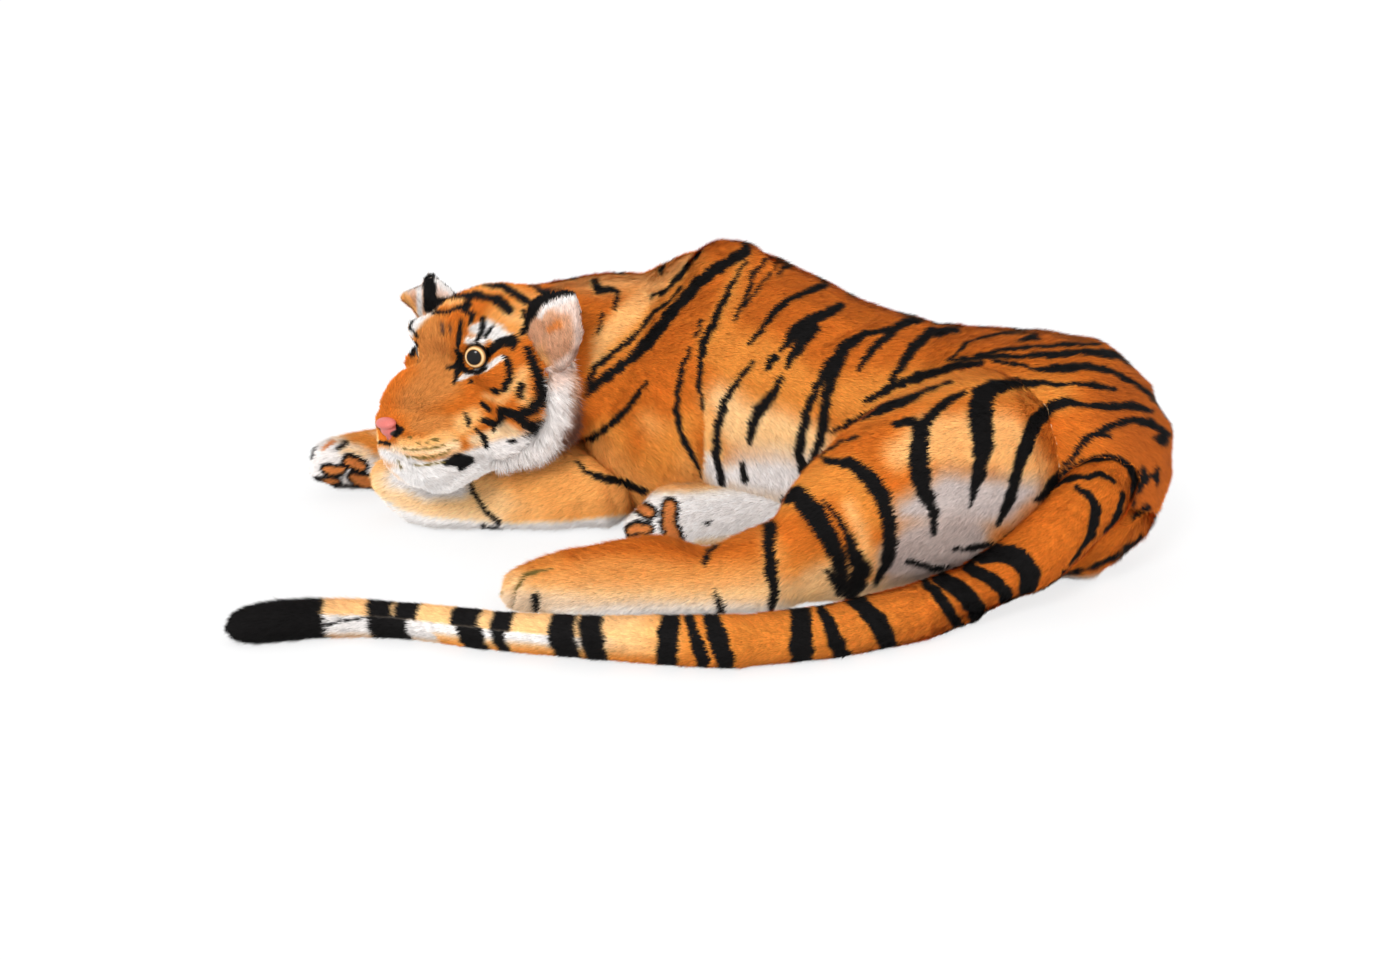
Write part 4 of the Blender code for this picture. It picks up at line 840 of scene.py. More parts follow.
def laid(colours, *coats):
    """Coats of colour painted over colours, each with its cover, mixed the way dyes fade into each other."""
    for colour, cover in coats:
        under = np.cbrt(colours)
        colours = (under + (np.cbrt(np.array(colour)) - under) * np.clip(cover, 0, 1)[:, None]) ** 3
    return colours


def painted_marks(colours, spots, marks, colour, weight, softness=MARK_SOFTNESS):
    for line in marks:
        broader = [(x, y, width * MARK_SWELL + MARK_BLEED) for x, y, width in line]
        colours = laid(colours, (colour, brushed(spots, broader, softness) * weight))
    return colours


def painted_pads(colours, spots, pads, weight):
    """Sole pads: a dark outline, then the orange inside it."""
    for outline, line in pads:
        wider = [(x, y, width + 2 * outline) for x, y, width in line]
        colours = laid(colours, (INK, brushed(spots, wider, PAD_SOFTNESS) * weight))
    for _, line in pads:
        colours = laid(colours, (PAD, brushed(spots, line, PAD_SOFTNESS) * weight))
    return colours


def painted_patches(colours, spots, patches, weight):
    for colour, softness, line in patches:
        colours = laid(colours, (colour, brushed(spots, line, softness) * weight))
    return colours


def printed(places, normals, colours, share, patches, marks, pads=()):
    """A print laid on colours, where the photograph shows these places."""
    spots, sight = pixels(places)
    seen = seen_share(normals, sight) * share
    colours = painted_patches(colours, spots, patches, seen)
    wobble = np.stack([ripple(places, WOBBLE_SIZE, seed) for seed in WOBBLE_SEEDS], 1) * WOBBLE_PIXELS
    colours = painted_pads(colours, spots, pads, seen)
    return painted_marks(colours, spots + wobble, marks, INK, seen)


def toned(colours, places):
    """The slight unevenness of a dyed and brushed pile."""
    tone = sum(ripple(places, size, seed) * UNEVENNESS for size, seed in MOTTLES)
    return colours * (1 + tone)[:, None]


def ringed(places, way, period, seed):
    """Broken stripes round a leg, for the sides that the photograph doesn't show."""
    wander = sum(ripple(places, size, seed + at) * reach for at, (size, reach) in enumerate(RING_WANDER))
    wave = np.sin(2 * math.pi * (way / period + wander))
    return ease(*RING_EDGE, wave + RING_FRAY * ripple(places, RING_FRAY_SIZE, seed + 2))


def across_the_back(places, normals):
    """The places and normals mirrored over the upright sheet through the spine, and 1 on its far side."""
    line = np.array(SPINE)
    at = np.interp(places[:, 0], line[:, 0], np.arange(len(line)))
    low = np.clip(at.astype(int), 0, len(line) - 2)
    middle = line[low] + (at - low)[:, None] * (line[low + 1] - line[low])
    run = np.gradient(line, axis=0)
    along = run[low] + (at - low)[:, None] * (run[low + 1] - run[low])
    side = np.stack([-along[:, 1], along[:, 0]], 1)
    side = np.concatenate([side / np.linalg.norm(side, axis=1)[:, None], np.zeros((len(side), 1))], 1)
    off = ((places - middle) * side).sum(1)
    turned = normals - 2 * (normals * side).sum(1)[:, None] * side
    return places - 2 * off[:, None] * side, turned, ease(*SPINE_FADE, off)


def copy_of(node):
    """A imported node's points and faces, welded and swelled enough to meet its neighbours."""
    shape = bmesh.new()
    shape.from_mesh(frame["nodes"][node].data)
    bmesh.ops.remove_doubles(shape, verts=shape.verts, dist=WELD)
    shape.normal_update()
    for point in shape.verts:
        point.co += point.normal * OVERLAP
    return shape


def head_ball(shape, place, radii):
    """Adds a rounded lump to a shape, placed and turned with the head."""
    matrix = Matrix.Translation(HEAD @ Vector(place)) @ HEAD_AXES.to_4x4() @ Matrix.Diagonal((*radii, 1))
    bmesh.ops.create_icosphere(shape, subdivisions=3, radius=1, matrix=matrix)


def linked(name, data):
    """A new object in the scene."""
    made = bpy.data.objects.new(name, data)
    bpy.context.scene.collection.objects.link(made)
    return made


def object_of(shape, name):
    mesh = bpy.data.meshes.new(name)
    shape.to_mesh(mesh)
    shape.free()
    return linked(name, mesh)


def finished(made):
    """The object's mesh with its modifiers worked in and taken off."""
    bpy.context.view_layer.update()
    graph = bpy.context.evaluated_depsgraph_get()
    mesh = bpy.data.meshes.new_from_object(made.evaluated_get(graph), preserve_all_data_layers=True,
                                           depsgraph=graph)
    made.modifiers.clear()
    old = made.data
    made.data = mesh
    bpy.data.meshes.remove(old)
    mesh.name = made.name
    return made


def one_shell(made):
    """Keeps only the largest closed shell of a mesh."""
    shape = bmesh.new()
    shape.from_mesh(made.data)
    left = set(shape.verts)
    largest = set()
    while left:
        group = {left.pop()}
        waiting = list(group)
        while waiting:
            point = waiting.pop()
            for edge in point.link_edges:
                other = edge.other_vert(point)
                if other in left:
                    left.discard(other)
                    group.add(other)
                    waiting.append(other)
        if len(group) > len(largest):
            largest = group
    bmesh.ops.delete(shape, geom=[point for point in shape.verts if point not in largest], context="VERTS")
    shape.to_mesh(made.data)
    shape.free()
    return made


def remeshed(made, voxel):
    """One closed, even skin over everything in a mesh."""
    remesh = made.modifiers.new("skin", "REMESH")
    remesh.mode = "VOXEL"
    remesh.voxel_size = voxel
    remesh.use_smooth_shade = True
    return one_shell(finished(made))


def read(made):
    """A mesh's points and their normals."""
    points = np.zeros(len(made.data.vertices) * 3)
    made.data.vertices.foreach_get("co", points)
    made.data.update()
    normals = np.zeros(len(made.data.vertices) * 3, np.float32)
    made.data.vertex_normals.foreach_get("vector", normals)
    return points.reshape(-1, 3), normals.reshape(-1, 3).astype(float)


def write(made, points):
    made.data.vertices.foreach_set("co", points.astype(np.float32).ravel())
    made.data.update()


def softened(made, rounds):
    """Evens out a mesh: plain rounds, then rounds that keep its fullness."""
    points, _ = read(made)
    edges = np.zeros(len(made.data.edges) * 2, np.int64)
    made.data.edges.foreach_get("vertices", edges)
    one, two = edges.reshape(-1, 2).T
    count = len(points)
    links = np.maximum(np.bincount(one, minlength=count) + np.bincount(two, minlength=count), 1)
    for share in [EVEN_SHARE] * rounds + [EVEN_SHARE, PUFF_SHARE] * PUFF_ROUNDS:
        total = np.stack([np.bincount(one, points[two, axis], count)
                          + np.bincount(two, points[one, axis], count) for axis in range(3)], 1)
        points = points + (total / links[:, None] - points) * share
    write(made, points)
    return made


def skin_of(name, nodes, voxel, rounds, inset, lumps=None):
    """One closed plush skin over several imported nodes."""
    whole = bmesh.new()
    for node in nodes:
        part = copy_of(node)
        mesh = bpy.data.meshes.new("part")
        part.to_mesh(mesh)
        part.free()
        whole.from_mesh(mesh)
        bpy.data.meshes.remove(mesh)
    if lumps:
        lumps(whole)
    made = softened(remeshed(object_of(whole, name), voxel), rounds)
    points, normals = read(made)
    write(made, points - normals * inset)
    return made


def split(made, keep, name):
    """A new object of the faces for which keep, a truth for each point, holds at any corner."""
    shape = bmesh.new()
    shape.from_mesh(made.data)
    shape.faces.ensure_lookup_table()
    drop = [face for face in shape.faces if not keep[[point.index for point in face.verts]].any()]
    bmesh.ops.delete(shape, geom=drop, context="FACES")
    return object_of(shape, name)


def store(made, name, kind, values):
    """Keeps a value for each point of a mesh."""
    found = made.data.attributes.get(name) or made.data.attributes.new(name, kind, "POINT")
    if kind == "FLOAT_COLOR":
        full = np.ones((len(values), 4), np.float32)
        full[:, :3] = values
        found.data.foreach_set("color", full.ravel())
    elif kind == "FLOAT_VECTOR":
        found.data.foreach_set("vector", values.astype(np.float32).ravel())
    else:
        found.data.foreach_set("value", np.asarray(values, np.float32))


def fur_tree():
    """The node tree that sets strands on a skin, leaning the way its comb attribute points."""
    tree = bpy.data.node_groups.new("fur", "GeometryNodeTree")
    wires = tree.interface
    wires.new_socket("Geometry", in_out="INPUT", socket_type="NodeSocketGeometry")
    for label in ("Strands to a square metre", "Pile length", "Blade width", "Upright share", "Unruliness",
                  "Tuft size", "Tufting"):
        wires.new_socket(label, in_out="INPUT", socket_type="NodeSocketFloat")
    wires.new_socket("Seed", in_out="INPUT", socket_type="NodeSocketInt")
    wires.new_socket("Blade", in_out="INPUT", socket_type="NodeSocketObject")
    wires.new_socket("Finish", in_out="INPUT", socket_type="NodeSocketMaterial")
    wires.new_socket("Geometry", in_out="OUTPUT", socket_type="NodeSocketGeometry")

    def node(kind, settings, inputs):
        made = tree.nodes.new(kind)
        for key, value in settings.items():
            setattr(made, key, value)
        for key, value in inputs.items():
            if isinstance(value, bpy.types.NodeSocket):
                tree.links.new(value, made.inputs[key])
            else:
                made.inputs[key].default_value = value
        return made.outputs

    def named(kind, name):
        return node("GeometryNodeInputNamedAttribute", {"data_type": kind}, {"Name": name})[0]

    def product(one, two):
        return node("ShaderNodeMath", {"operation": "MULTIPLY"}, {0: one, 1: two})[0]

    def vector_of(operation, one, two):
        second = "Scale" if operation == "SCALE" else 1
        return node("ShaderNodeVectorMath", {"operation": operation}, {0: one, second: two})[0]

    given = node("NodeGroupInput", {}, {})
    strewn = node("GeometryNodeDistributePointsOnFaces", {"distribute_method": "RANDOM"},
                  {"Mesh": given["Geometry"], "Seed": given["Seed"],
                   "Density": product(given["Strands to a square metre"], named("FLOAT", "thick"))})
    spread = node("FunctionNodeRandomValue", {"data_type": "FLOAT_VECTOR"},
                  {"Min": (-1, -1, -1), "Max": (1, 1, 1), "Seed": given["Seed"]})[0]
    upright = vector_of("SCALE", strewn["Normal"], given["Upright share"])
    stray = vector_of("SCALE", spread, given["Unruliness"])
    clumps = node("ShaderNodeTexNoise", {}, {"Scale": given["Tuft size"], "Detail": 1.0})["Color"]
    tufts = vector_of("SCALE", vector_of("SUBTRACT", clumps, (0.5, 0.5, 0.5)), given["Tufting"])
    combed = vector_of("ADD", named("FLOAT_VECTOR", "comb"), upright)
    way = vector_of("ADD", combed, vector_of("ADD", stray, tufts))
    lean = node("FunctionNodeAlignRotationToVector", {"axis": "Z"}, {"Vector": way})[0]
    flat = node("FunctionNodeAlignRotationToVector", {"axis": "Y", "pivot_axis": "Z"},
                {"Rotation": lean, "Vector": strewn["Normal"]})[0]
    longer = node("FunctionNodeRandomValue", {"data_type": "FLOAT"},
                  {2: SHORTEST_STRAND, 3: LONGEST_STRAND, "Seed": given["Seed"]})[1]
    length = product(product(given["Pile length"], named("FLOAT", "pile")), longer)
    size = node("ShaderNodeCombineXYZ", {}, {0: given["Blade width"], 1: 1.0, 2: length})[0]
    blade = node("GeometryNodeObjectInfo", {}, {"Object": given["Blade"]})["Geometry"]
    placed = node("GeometryNodeInstanceOnPoints", {},
                  {"Points": strewn["Points"], "Instance": blade, "Rotation": flat, "Scale": size})[0]
    real = node("GeometryNodeRealizeInstances", {}, {"Geometry": placed})[0]
    dressed = node("GeometryNodeSetMaterial", {}, {"Geometry": real, "Material": given["Finish"]})[0]
    node("NodeGroupOutput", {}, {0: dressed})
    return tree


def fur_blade():
    """One flat tapering strand, a unit long and wide."""
    mesh = bpy.data.meshes.new("fur_blade")
    mesh.from_pydata([(-0.5, 0, 0), (0.5, 0, 0), (0, 0, 1)], [], [(0, 1, 2)])
    made = linked("fur_blade", mesh)
    store(made, "tip", "FLOAT", np.array([0.0, 0.0, 1.0]))
    return made


def strand_map(made):
    """Gives each strand its own small cell of a map, neighbours beside neighbours."""
    count = len(made.data.polygons)
    points, _ = read(made)
    roots = points.reshape(count, 3, 3)[:, 0]
    side = max(1, math.ceil(math.sqrt(count)))
    spread = roots - roots.mean(0)
    _, _, ways = np.linalg.svd(spread[:: max(1, count // MAP_SAMPLE)], full_matrices=False)
    order = np.argsort(spread @ ways[0], kind="stable")
    column = np.zeros(count, np.int64)
    column[order] = np.arange(count) // side
    order = np.lexsort((spread @ ways[1], column))
    row = np.zeros(count, np.int64)
    row[order] = np.arange(count) - column[order] * side
    cell = np.stack([column, row], 1)[:, None, :]
    layer = made.data.uv_layers.new(name="OFBake")
    layer.data.foreach_set("uv", ((cell + np.array(STRAND_CELL)[None]) / side).astype(np.float32).ravel())


FUR = fur_tree()
BLADE = fur_blade()
STRANDS = plush_strands()
GROUND = plush_ground()


def carried(made, name):
    """A vector that each strand carries from its root."""
    values = np.zeros(len(made.data.vertices) * 3, np.float32)
    made.data.attributes[name].data.foreach_get("vector", values)
    return values.reshape(-1, 3)[::3].astype(float)


def dyed(fur, colour_of, seed):
    """Keeps strands above the floor and gives each one the print's colour at its own place."""
    points, _ = read(fur)
    points[:, 2] = np.maximum(points[:, 2], LOWEST_STRAND)
    write(fur, points)
    roots = points.reshape(-1, 3, 3)[:, :2].mean(1)
    colours = colour_of(roots + carried(fur, "comb") * COLOUR_REACH, carried(fur, "out"))
    tone = 1 + np.random.default_rng(seed).normal(0, STRAND_TONE, len(roots))
    tone = tone + LOCK_TONE * ripple(roots, LOCK_SIZE, seed)
    store(fur, "coat", "FLOAT_COLOR", np.repeat(np.clip(colours * tone[:, None], 0, PALEST), 3, 0))
    for name in ("comb", "out", "pile", "thick"):
        fur.data.attributes.remove(fur.data.attributes[name])


def fur_on(skin, colour_of, seed, thickness=STRANDS_TO_A_SQUARE_METRE, pile=SHORT_PILE, width=BLADE_WIDTH,
           upright=0.42, unruly=0.24, tufts=130.0, tufting=0.8):
    """Strands over a skin, as one or more plain meshes."""
    area = sum(face.area for face in skin.data.polygons)
    sheets = max(1, math.ceil(area * thickness / MOST_STRANDS))
    made = []
    for number in range(sheets):
        fur = linked(skin.name + "_fur" + (str(number + 1) if sheets > 1 else ""), skin.data.copy())
        modifier = fur.modifiers.new("fur", "NODES")
        modifier.node_group = FUR
        values = {"Strands to a square metre": thickness / sheets, "Pile length": pile, "Blade width": width,
                  "Upright share": upright, "Unruliness": unruly, "Tuft size": tufts, "Tufting": tufting,
                  "Seed": seed * 10 + number, "Blade": BLADE, "Finish": STRANDS}
        for item in FUR.interface.items_tree:
            if item.in_out == "INPUT" and item.name in values:
                modifier[item.identifier] = values[item.name]
        finished(fur)
        dyed(fur, colour_of, seed * 10 + number)
        strand_map(fur)
        made.append(fur)
    return made


def flow_on(normals, flow):
    """A direction laid on the surface."""
    flow = np.broadcast_to(flow, normals.shape)
    flat = flow - (flow * normals).sum(1)[:, None] * normals
    return flat / np.maximum(np.linalg.norm(flat, axis=1), 1e-6)[:, None]


def coated(skin, seed, colour_of, flow_of, pile_of=None, thick_of=None, **pile_values):
    """Stores on a skin what its fur needs, colour, direction, length and thickness, and grows the fur."""
    points, normals = read(skin)
    comb = flow_on(normals, flow_of(points, normals))
    store(skin, "comb", "FLOAT_VECTOR", comb)
    store(skin, "out", "FLOAT_VECTOR", normals)
    store(skin, "coat", "FLOAT_COLOR", colour_of(points + comb * COLOUR_REACH, normals))
    store(skin, "pile", "FLOAT", pile_of(points, normals) if pile_of else np.ones(len(points)))
    store(skin, "thick", "FLOAT", thick_of(points, normals) if thick_of else np.ones(len(points)))
    skin.data.materials.clear()
    skin.data.materials.append(GROUND)
    return fur_on(skin, colour_of, seed, **pile_values)


def folded(skin, folds):
    """Presses a skin in along the folds that the photograph shows."""
    points, normals = read(skin)
    spots, sight = pixels(points)
    seen = seen_share(normals, sight)
    for depth, softness, line in folds:
        points = points - normals * (brushed(spots, line, softness) * seen * depth)[:, None]
    write(skin, points)


def pushed(skin, pushes):
    """Moves parts of a skin across the picture, most at each push's own pixel."""
    points, _ = read(skin)
    spots, _ = pixels(points)
    moves = np.zeros((len(points), 2))
    for x, y, wide, tall, across, down in pushes:
        share = np.exp(-((spots[:, 0] - x) / wide) ** 2 - ((spots[:, 1] - y) / tall) ** 2)
        moves += share[:, None] * np.array((across, -down))
    moves[:, 1] *= ease(*FLOOR_FADE, points[:, 2])
    depth = (points - np.array(CAMERA_PLACE)) @ np.array(AHEAD) / FOCAL_PIXELS
    points = points + (moves[:, :1] * np.array(RIGHT) + moves[:, 1:] * np.array(UP)) * depth[:, None]
    points[:, 2] = np.maximum(points[:, 2], FLOOR_GAP)
    write(skin, points)


def sagging(skin, reach, left, right):
    """Lets a leg spread over the floor on the side nearest the camera, between two columns of pixels."""
    points, normals = read(skin)
    column = pixels(points)[0][:, 0]
    share = ease(*SAG_HEIGHT, points[:, 2]) * ease(*SAG_SIDE, normals[:, 1])
    share *= ease(left - SAG_EDGE, left + SAG_EDGE, column) * ease(right + SAG_EDGE, right - SAG_EDGE, column)
    points[:, 1] -= share * reach
    write(skin, points)


def piece(skin, furs, nodes, body=None, bend=None):
    """Ties a plush skin and its fur to the body they move with, or works their placing into their points when
    a bend is given, and hides the nodes they stand for.
    """
    for part in [skin, *furs]:
        if bend:
            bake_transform(part)
        else:
            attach(part, body)
    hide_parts(*nodes)


# The body's print. Heights, lengths and widths of a fade are in metres, turns are of the surface's normal
def body_ground(places, normals):
    height = places[:, 2]
    belly = ease(*BELLY_FRONT, places[:, 0]) * ease(*BELLY_REAR, places[:, 0])
    return laid(plain(ORANGE, places),
                (RUST, ease(0.2, 0.8, normals[:, 2]) * ease(0.16, 0.26, height) * 0.30),
                (AMBER, ease(0.12, 0.05, height) * 0.8),
                (PEACH, ease(0.10, 0.05, height) * 0.9 * belly),
                (SNOW, ease(0.07, 0.035, height + 0.012 * ripple(places, 0.08, 3)) * belly),
                (SNOW, ease(-0.35, -0.75, normals[:, 2]) * belly))


def body_colour(places, normals):
    """The near side is traced; the far side has the same print, mirrored over the spine."""
    marks = SHOULDER_MARKS + FLANK_MARKS + THIGH_MARKS
    _, sight = pixels(places)
    twin, twin_normals, far = across_the_back(places, normals)
    colours = toned(body_ground(places, normals), places)
    hidden = far * (1 - seen_share(normals, sight))
    colours = printed(twin, twin_normals, colours, hidden, BODY_PATCHES, marks)
    return printed(places, normals, colours, 1, BODY_PATCHES, marks)


def body_flow(places, normals):
    """Back along the body, and down its sides."""
    lower = ease(0.24, 0.08, places[:, 2])[:, None]
    return np.array(BODY_WAY) + np.array(SIDE_WAY) * lower


# The head's print and pile
def head_local(places):
    """Places in the head's own axes: forward, left, up."""
    return (places - np.array(HEAD_PLACE)) @ np.array(HEAD_AXES)


def head_ground(places):
    local = head_local(places)
    under = ease(-0.052, -0.075, local[:, 2] + 0.25 * (local[:, 0] - 0.10))
    return laid(plain(ORANGE, places), (SNOW, under * ease(-0.02, 0.02, local[:, 0])))


def head_paint(places, spots, colours, weight):
    colours = painted_patches(colours, spots, HEAD_PATCHES, weight)
    colours = painted_marks(colours, spots, HEAD_MARKS, INK, weight, FACE_MARK_SOFTNESS)
    least, more = WHISKER_WEIGHT
    dotted = weight * (least + more * ease(-0.5, 0.5, ripple(places, WHISKER_DOTS, WHISKER_SEED)))
    return painted_marks(colours, spots, WHISKER_MARKS, OLIVE, dotted, WHISKER_SOFTNESS)


def head_colour(places, normals):
    """The face is traced on the near side and mirrored on the far one; the nape is striped by rule."""
    axes = np.array(HEAD_AXES)
    local = head_local(places)
    spots, sight = pixels(places)
    seen = seen_share(normals, sight)
    is_head = ease(*HEAD_BACK, local[:, 0]) * (1 - seen * ease(*HEAD_COLUMN, spots[:, 0]))
    nape = ringed(places, local[:, 0], NAPE_PERIOD, NAPE_SEED) * ease(*NAPE_BACK, local[:, 0])
    nape = nape * ease(*NAPE_TURN, normals[:, 2])
    neck = laid(body_colour(places, normals), (INK, nape * (1 - seen)))
    twin = (local * (1, -1, 1)) @ axes.T + np.array(HEAD_PLACE)
    twin_normals = ((normals @ axes) * (1, -1, 1)) @ axes.T
    twin_spots, twin_sight = pixels(twin)
    twin_seen = seen_share(twin_normals, twin_sight) * (1 - seen) * (local[:, 1] < 0)
    face = toned(head_ground(places), places)
    face = head_paint(places, twin_spots, face, twin_seen)
    face = head_paint(places, spots, face, seen)
    return neck + (face - neck) * is_head[:, None]


def about_eye(places, centre, axis):
    """How far places lie from an eye's axis, and how far along it."""
    away = places - np.array(centre)
    height = away @ np.array(axis)
    return np.linalg.norm(away - height[:, None] * np.array(axis), axis=1), height


def eye_gap(places):
    """How far places lie from the nearer eye's own axis."""
    gaps = []
    for _, centre, axis in EYES:
        gap, height = about_eye(places, centre, axis)
        gaps.append(gap + np.where(np.abs(height) > SOCKET_HEIGHT, 1.0, 0.0))
    return np.minimum(*gaps)


def socketed(skin):
    """Presses a seat for each glass eye."""
    points, _ = read(skin)
    for _, centre, axis in EYES:
        gap, height = about_eye(points, centre, axis)
        most = -SOCKET_DEPTH + SOCKET_LIP * ease(EYE_RADIUS, SOCKET_REACH, gap)
        near = (np.abs(height) < SOCKET_HEIGHT) & (gap < SOCKET_REACH)
        sunk = np.where(near, np.minimum(height, most), height)
        points = points + (sunk - height)[:, None] * np.array(axis)
    write(skin, points)


def head_pile(places, normals):
    """Short on the nose, bridge and eyelids, and long below the cheek."""
    local = head_local(places)
    nose = np.linalg.norm(local - NOSE_PLACE, axis=1)
    short = 0.30 + 0.40 * ease(0.014, 0.034, eye_gap(places)) + 0.30 * ease(0.12, 0.04, local[:, 0])
    long = ease(0.0, -0.03, local[:, 2]) * ease(0.085, 0.045, local[:, 0]) * ease(-0.02, 0.01, local[:, 0])
    return short * (0.45 + 0.55 * ease(0.016, 0.04, nose)) + 0.75 * long


def head_thick(places, normals):
    """No strands grow under the glass eyes."""
    return ease(EYE_RADIUS - 0.001, EYE_RADIUS + 0.001, eye_gap(places))


def head_flow(places, normals):
    """Back from the nose and out over the cheeks, then along the neck as on the body."""
    local = head_local(places)
    back, side, down = -HEAD_AXES.col[0], HEAD_AXES.col[1], -HEAD_AXES.col[2]
    flow = np.array(back)[None] * np.ones((len(places), 1))
    flow = flow + np.array(side)[None] * (local[:, 1:2] * 6)
    flow = flow + np.array(down)[None] * ease(0.02, -0.05, local[:, 2])[:, None] * 0.8
    neck = ease(-0.04, -0.08, local[:, 0])[:, None]
    return flow * (1 - neck) + body_flow(places, normals) * neck


def face_lumps(shape):
    for place, radii in MIDDLE_LUMPS:
        head_ball(shape, place, radii)
    for side in (1, -1):
        for (ahead, out, up), radii in SIDE_LUMPS:
            head_ball(shape, (ahead, side * out, up), radii)


# The body, neck and head are one skin, parted where the neck starts to bend
BODY_NODES = ["trunk", "hips", "left_shoulder", "right_shoulder"]
HEAD_NODES = ["neck", "head", "muzzle", "chin"]
whole = skin_of("plush_body", BODY_NODES + HEAD_NODES, SKIN_VOXEL, SKIN_ROUNDS, SKIN_INSET, face_lumps)
pushed(whole, BODY_PUSHES)
points, _ = read(whole)
direction = np.array(NECK_END - NECK_START)
share = (points - np.array(NECK_START)) @ direction / (direction @ direction)
head_skin = split(whole, share > 0, "plush_head")
body_skin = split(whole, share <= 0, "plush_torso")
bpy.data.objects.remove(whole)

folded(body_skin, BODY_FOLDS)
folded(head_skin, HEAD_FOLDS)
socketed(head_skin)
piece(body_skin, coated(body_skin, 1, body_colour, body_flow), BODY_NODES, body="torso")
piece(head_skin, coated(head_skin, 2, head_colour, head_flow, head_pile, head_thick),
      HEAD_NODES, bend=("torso", "head", NECK_START, NECK_END))


# The legs
def hind_colour(places, normals):
    height = places[:, 2]
    colours = laid(plain(ORANGE, places), (AMBER, ease(0.09, 0.05, height) * 0.7),
                   (PEACH, ease(0.045, 0.02, height)), (CREAM, ease(0.0, -0.6, normals[:, 2])))
    hidden = ease(0.1, -0.3, (normals * pixels(places)[1]).sum(1)) * ease(0.05, 0.09, height)
    colours = laid(toned(colours, places), (INK, ringed(places, places[:, 0], HIND_PERIOD, 43) * hidden))
    return printed(places, normals, colours, 1, HIND_PATCHES, THIGH_MARKS + SHANK_MARKS)


def fore_colour(places, normals):
    colours = laid(plain(PEACH, places), (AMBER, ease(-0.25, -0.10, places[:, 0]) * 0.8))
    colours = laid(toned(colours, places), (SNOW, ease(0.020, 0.012, places[:, 2])))
    return printed(places, normals, colours, 1, FORELEG_PATCHES, FORELEG_MARKS + SHOULDER_MARKS)


def far_fore_colour(places, normals):
    along, height = places[:, 0], places[:, 2]
    colours = laid(plain(ORANGE, places), (AMBER, ease(-0.05, -0.30, along)),
                   (SNOW, ease(0.030, 0.014, height)),
                   (SNOW, ease(-0.42, -0.455, along + 0.5 * (height - 0.04))),
                   (SNOW, ease(-0.36, -0.41, along) * ease(0.2, -0.4, normals[:, 1])))
    upper = ease(-0.30, -0.24, along) * ease(0.012, 0.03, height) * ease(-0.2, 0.3, normals[:, 1])
    colours = laid(toned(colours, places), (INK, ringed(places, along, FORE_PERIOD, 42) * upper))
    return printed(places, normals, colours, 1, FAR_PAW_PATCHES, FAR_PAW_MARKS, FAR_PAW_PADS)


def far_hind_colour(places, normals):
    along, height = places[:, 0], places[:, 2]
    outer = np.maximum(ease(0.15, 0.55, normals[:, 1]), ease(0.27, 0.34, along))
    colours = laid(plain(MILK, places), (PEACH, ease(0.6, 0.95, normals[:, 2]) * 0.12),
                   (ORANGE, outer * ease(0.010, 0.026, height) * ease(-0.04, 0.02, along)))
    hidden = 1 - seen_share(normals, pixels(places)[1])
    rings = ringed(places, along, HIND_PERIOD, 44) * outer * hidden
    rings = rings * ease(0.02, 0.05, along) * ease(0.012, 0.03, height)
    colours = laid(toned(colours, places), (INK, rings))
    return printed(places, normals, colours, 1, FAR_SOLE_PATCHES, FAR_SOLE_MARKS + RUMP_MARKS, FAR_SOLE_PADS)


def toward_paw(places, normals):
    return np.array(LEG_WAY)


# Each leg: its nodes, slot and seed, its print and shape, and how far it spreads between which columns
LEGS = (
    ("near_foreleg", ["left_forearm", "left_forepaw"], "orange_plush", 41,
     fore_colour, FORELEG_PUSHES, FORELEG_FOLDS, (0.012, 430, 570)),
    ("far_foreleg", ["right_forearm", "right_forepaw"], "orange_plush", 42,
     far_fore_colour, FAR_PAW_PUSHES, (), ()),
    ("near_hind_leg", ["left_thigh", "left_shank", "left_hind_paw"], "orange_plush", 43,
     hind_colour, SHANK_PUSHES, HIND_FOLDS, (0.024, 560, 790)),
    ("far_hind_leg", ["right_thigh", "right_shank", "right_hind_paw"], "white_plush", 44,
     far_hind_colour, FAR_HIND_PUSHES, (), ()),
)
for name, nodes, slot_name, seed, colour_of, pushes, folds, spread in LEGS:
    skin = skin_of(name, nodes, SKIN_VOXEL, SKIN_ROUNDS, SKIN_INSET)
    pushed(skin, pushes)
    if spread:
        sagging(skin, *spread)
    folded(skin, folds)
    piece(skin, coated(skin, seed, colour_of, toward_paw), nodes, body="torso")


# The ears
def ear_colour(middle, line, out, front, height, width, patches, marks):
    """A print that is pale in the hollow, and dark round a white spot behind."""
    def colour_of(places, normals):
        away = places - np.array(middle)
        up = away @ np.array(line) / height
        across = away @ np.array(out) / width
        share = np.sqrt(up * up + across * across)
        hollow = laid(plain(FAWN, places), (PEACH, ease(0.1, -0.5, up)), (BLUSH, ease(0.66, 0.88, share)))
        behind = laid(plain(INK, places), (SNOW, ease(0.52, 0.42, share)), (ORANGE, ease(-0.55, -0.8, up)))
        colours = hollow + (behind - hollow) * ease(0.05, -0.15, normals @ np.array(front))[:, None]
        return printed(places, normals, toned(colours, places), 1, patches, marks)
    return colour_of


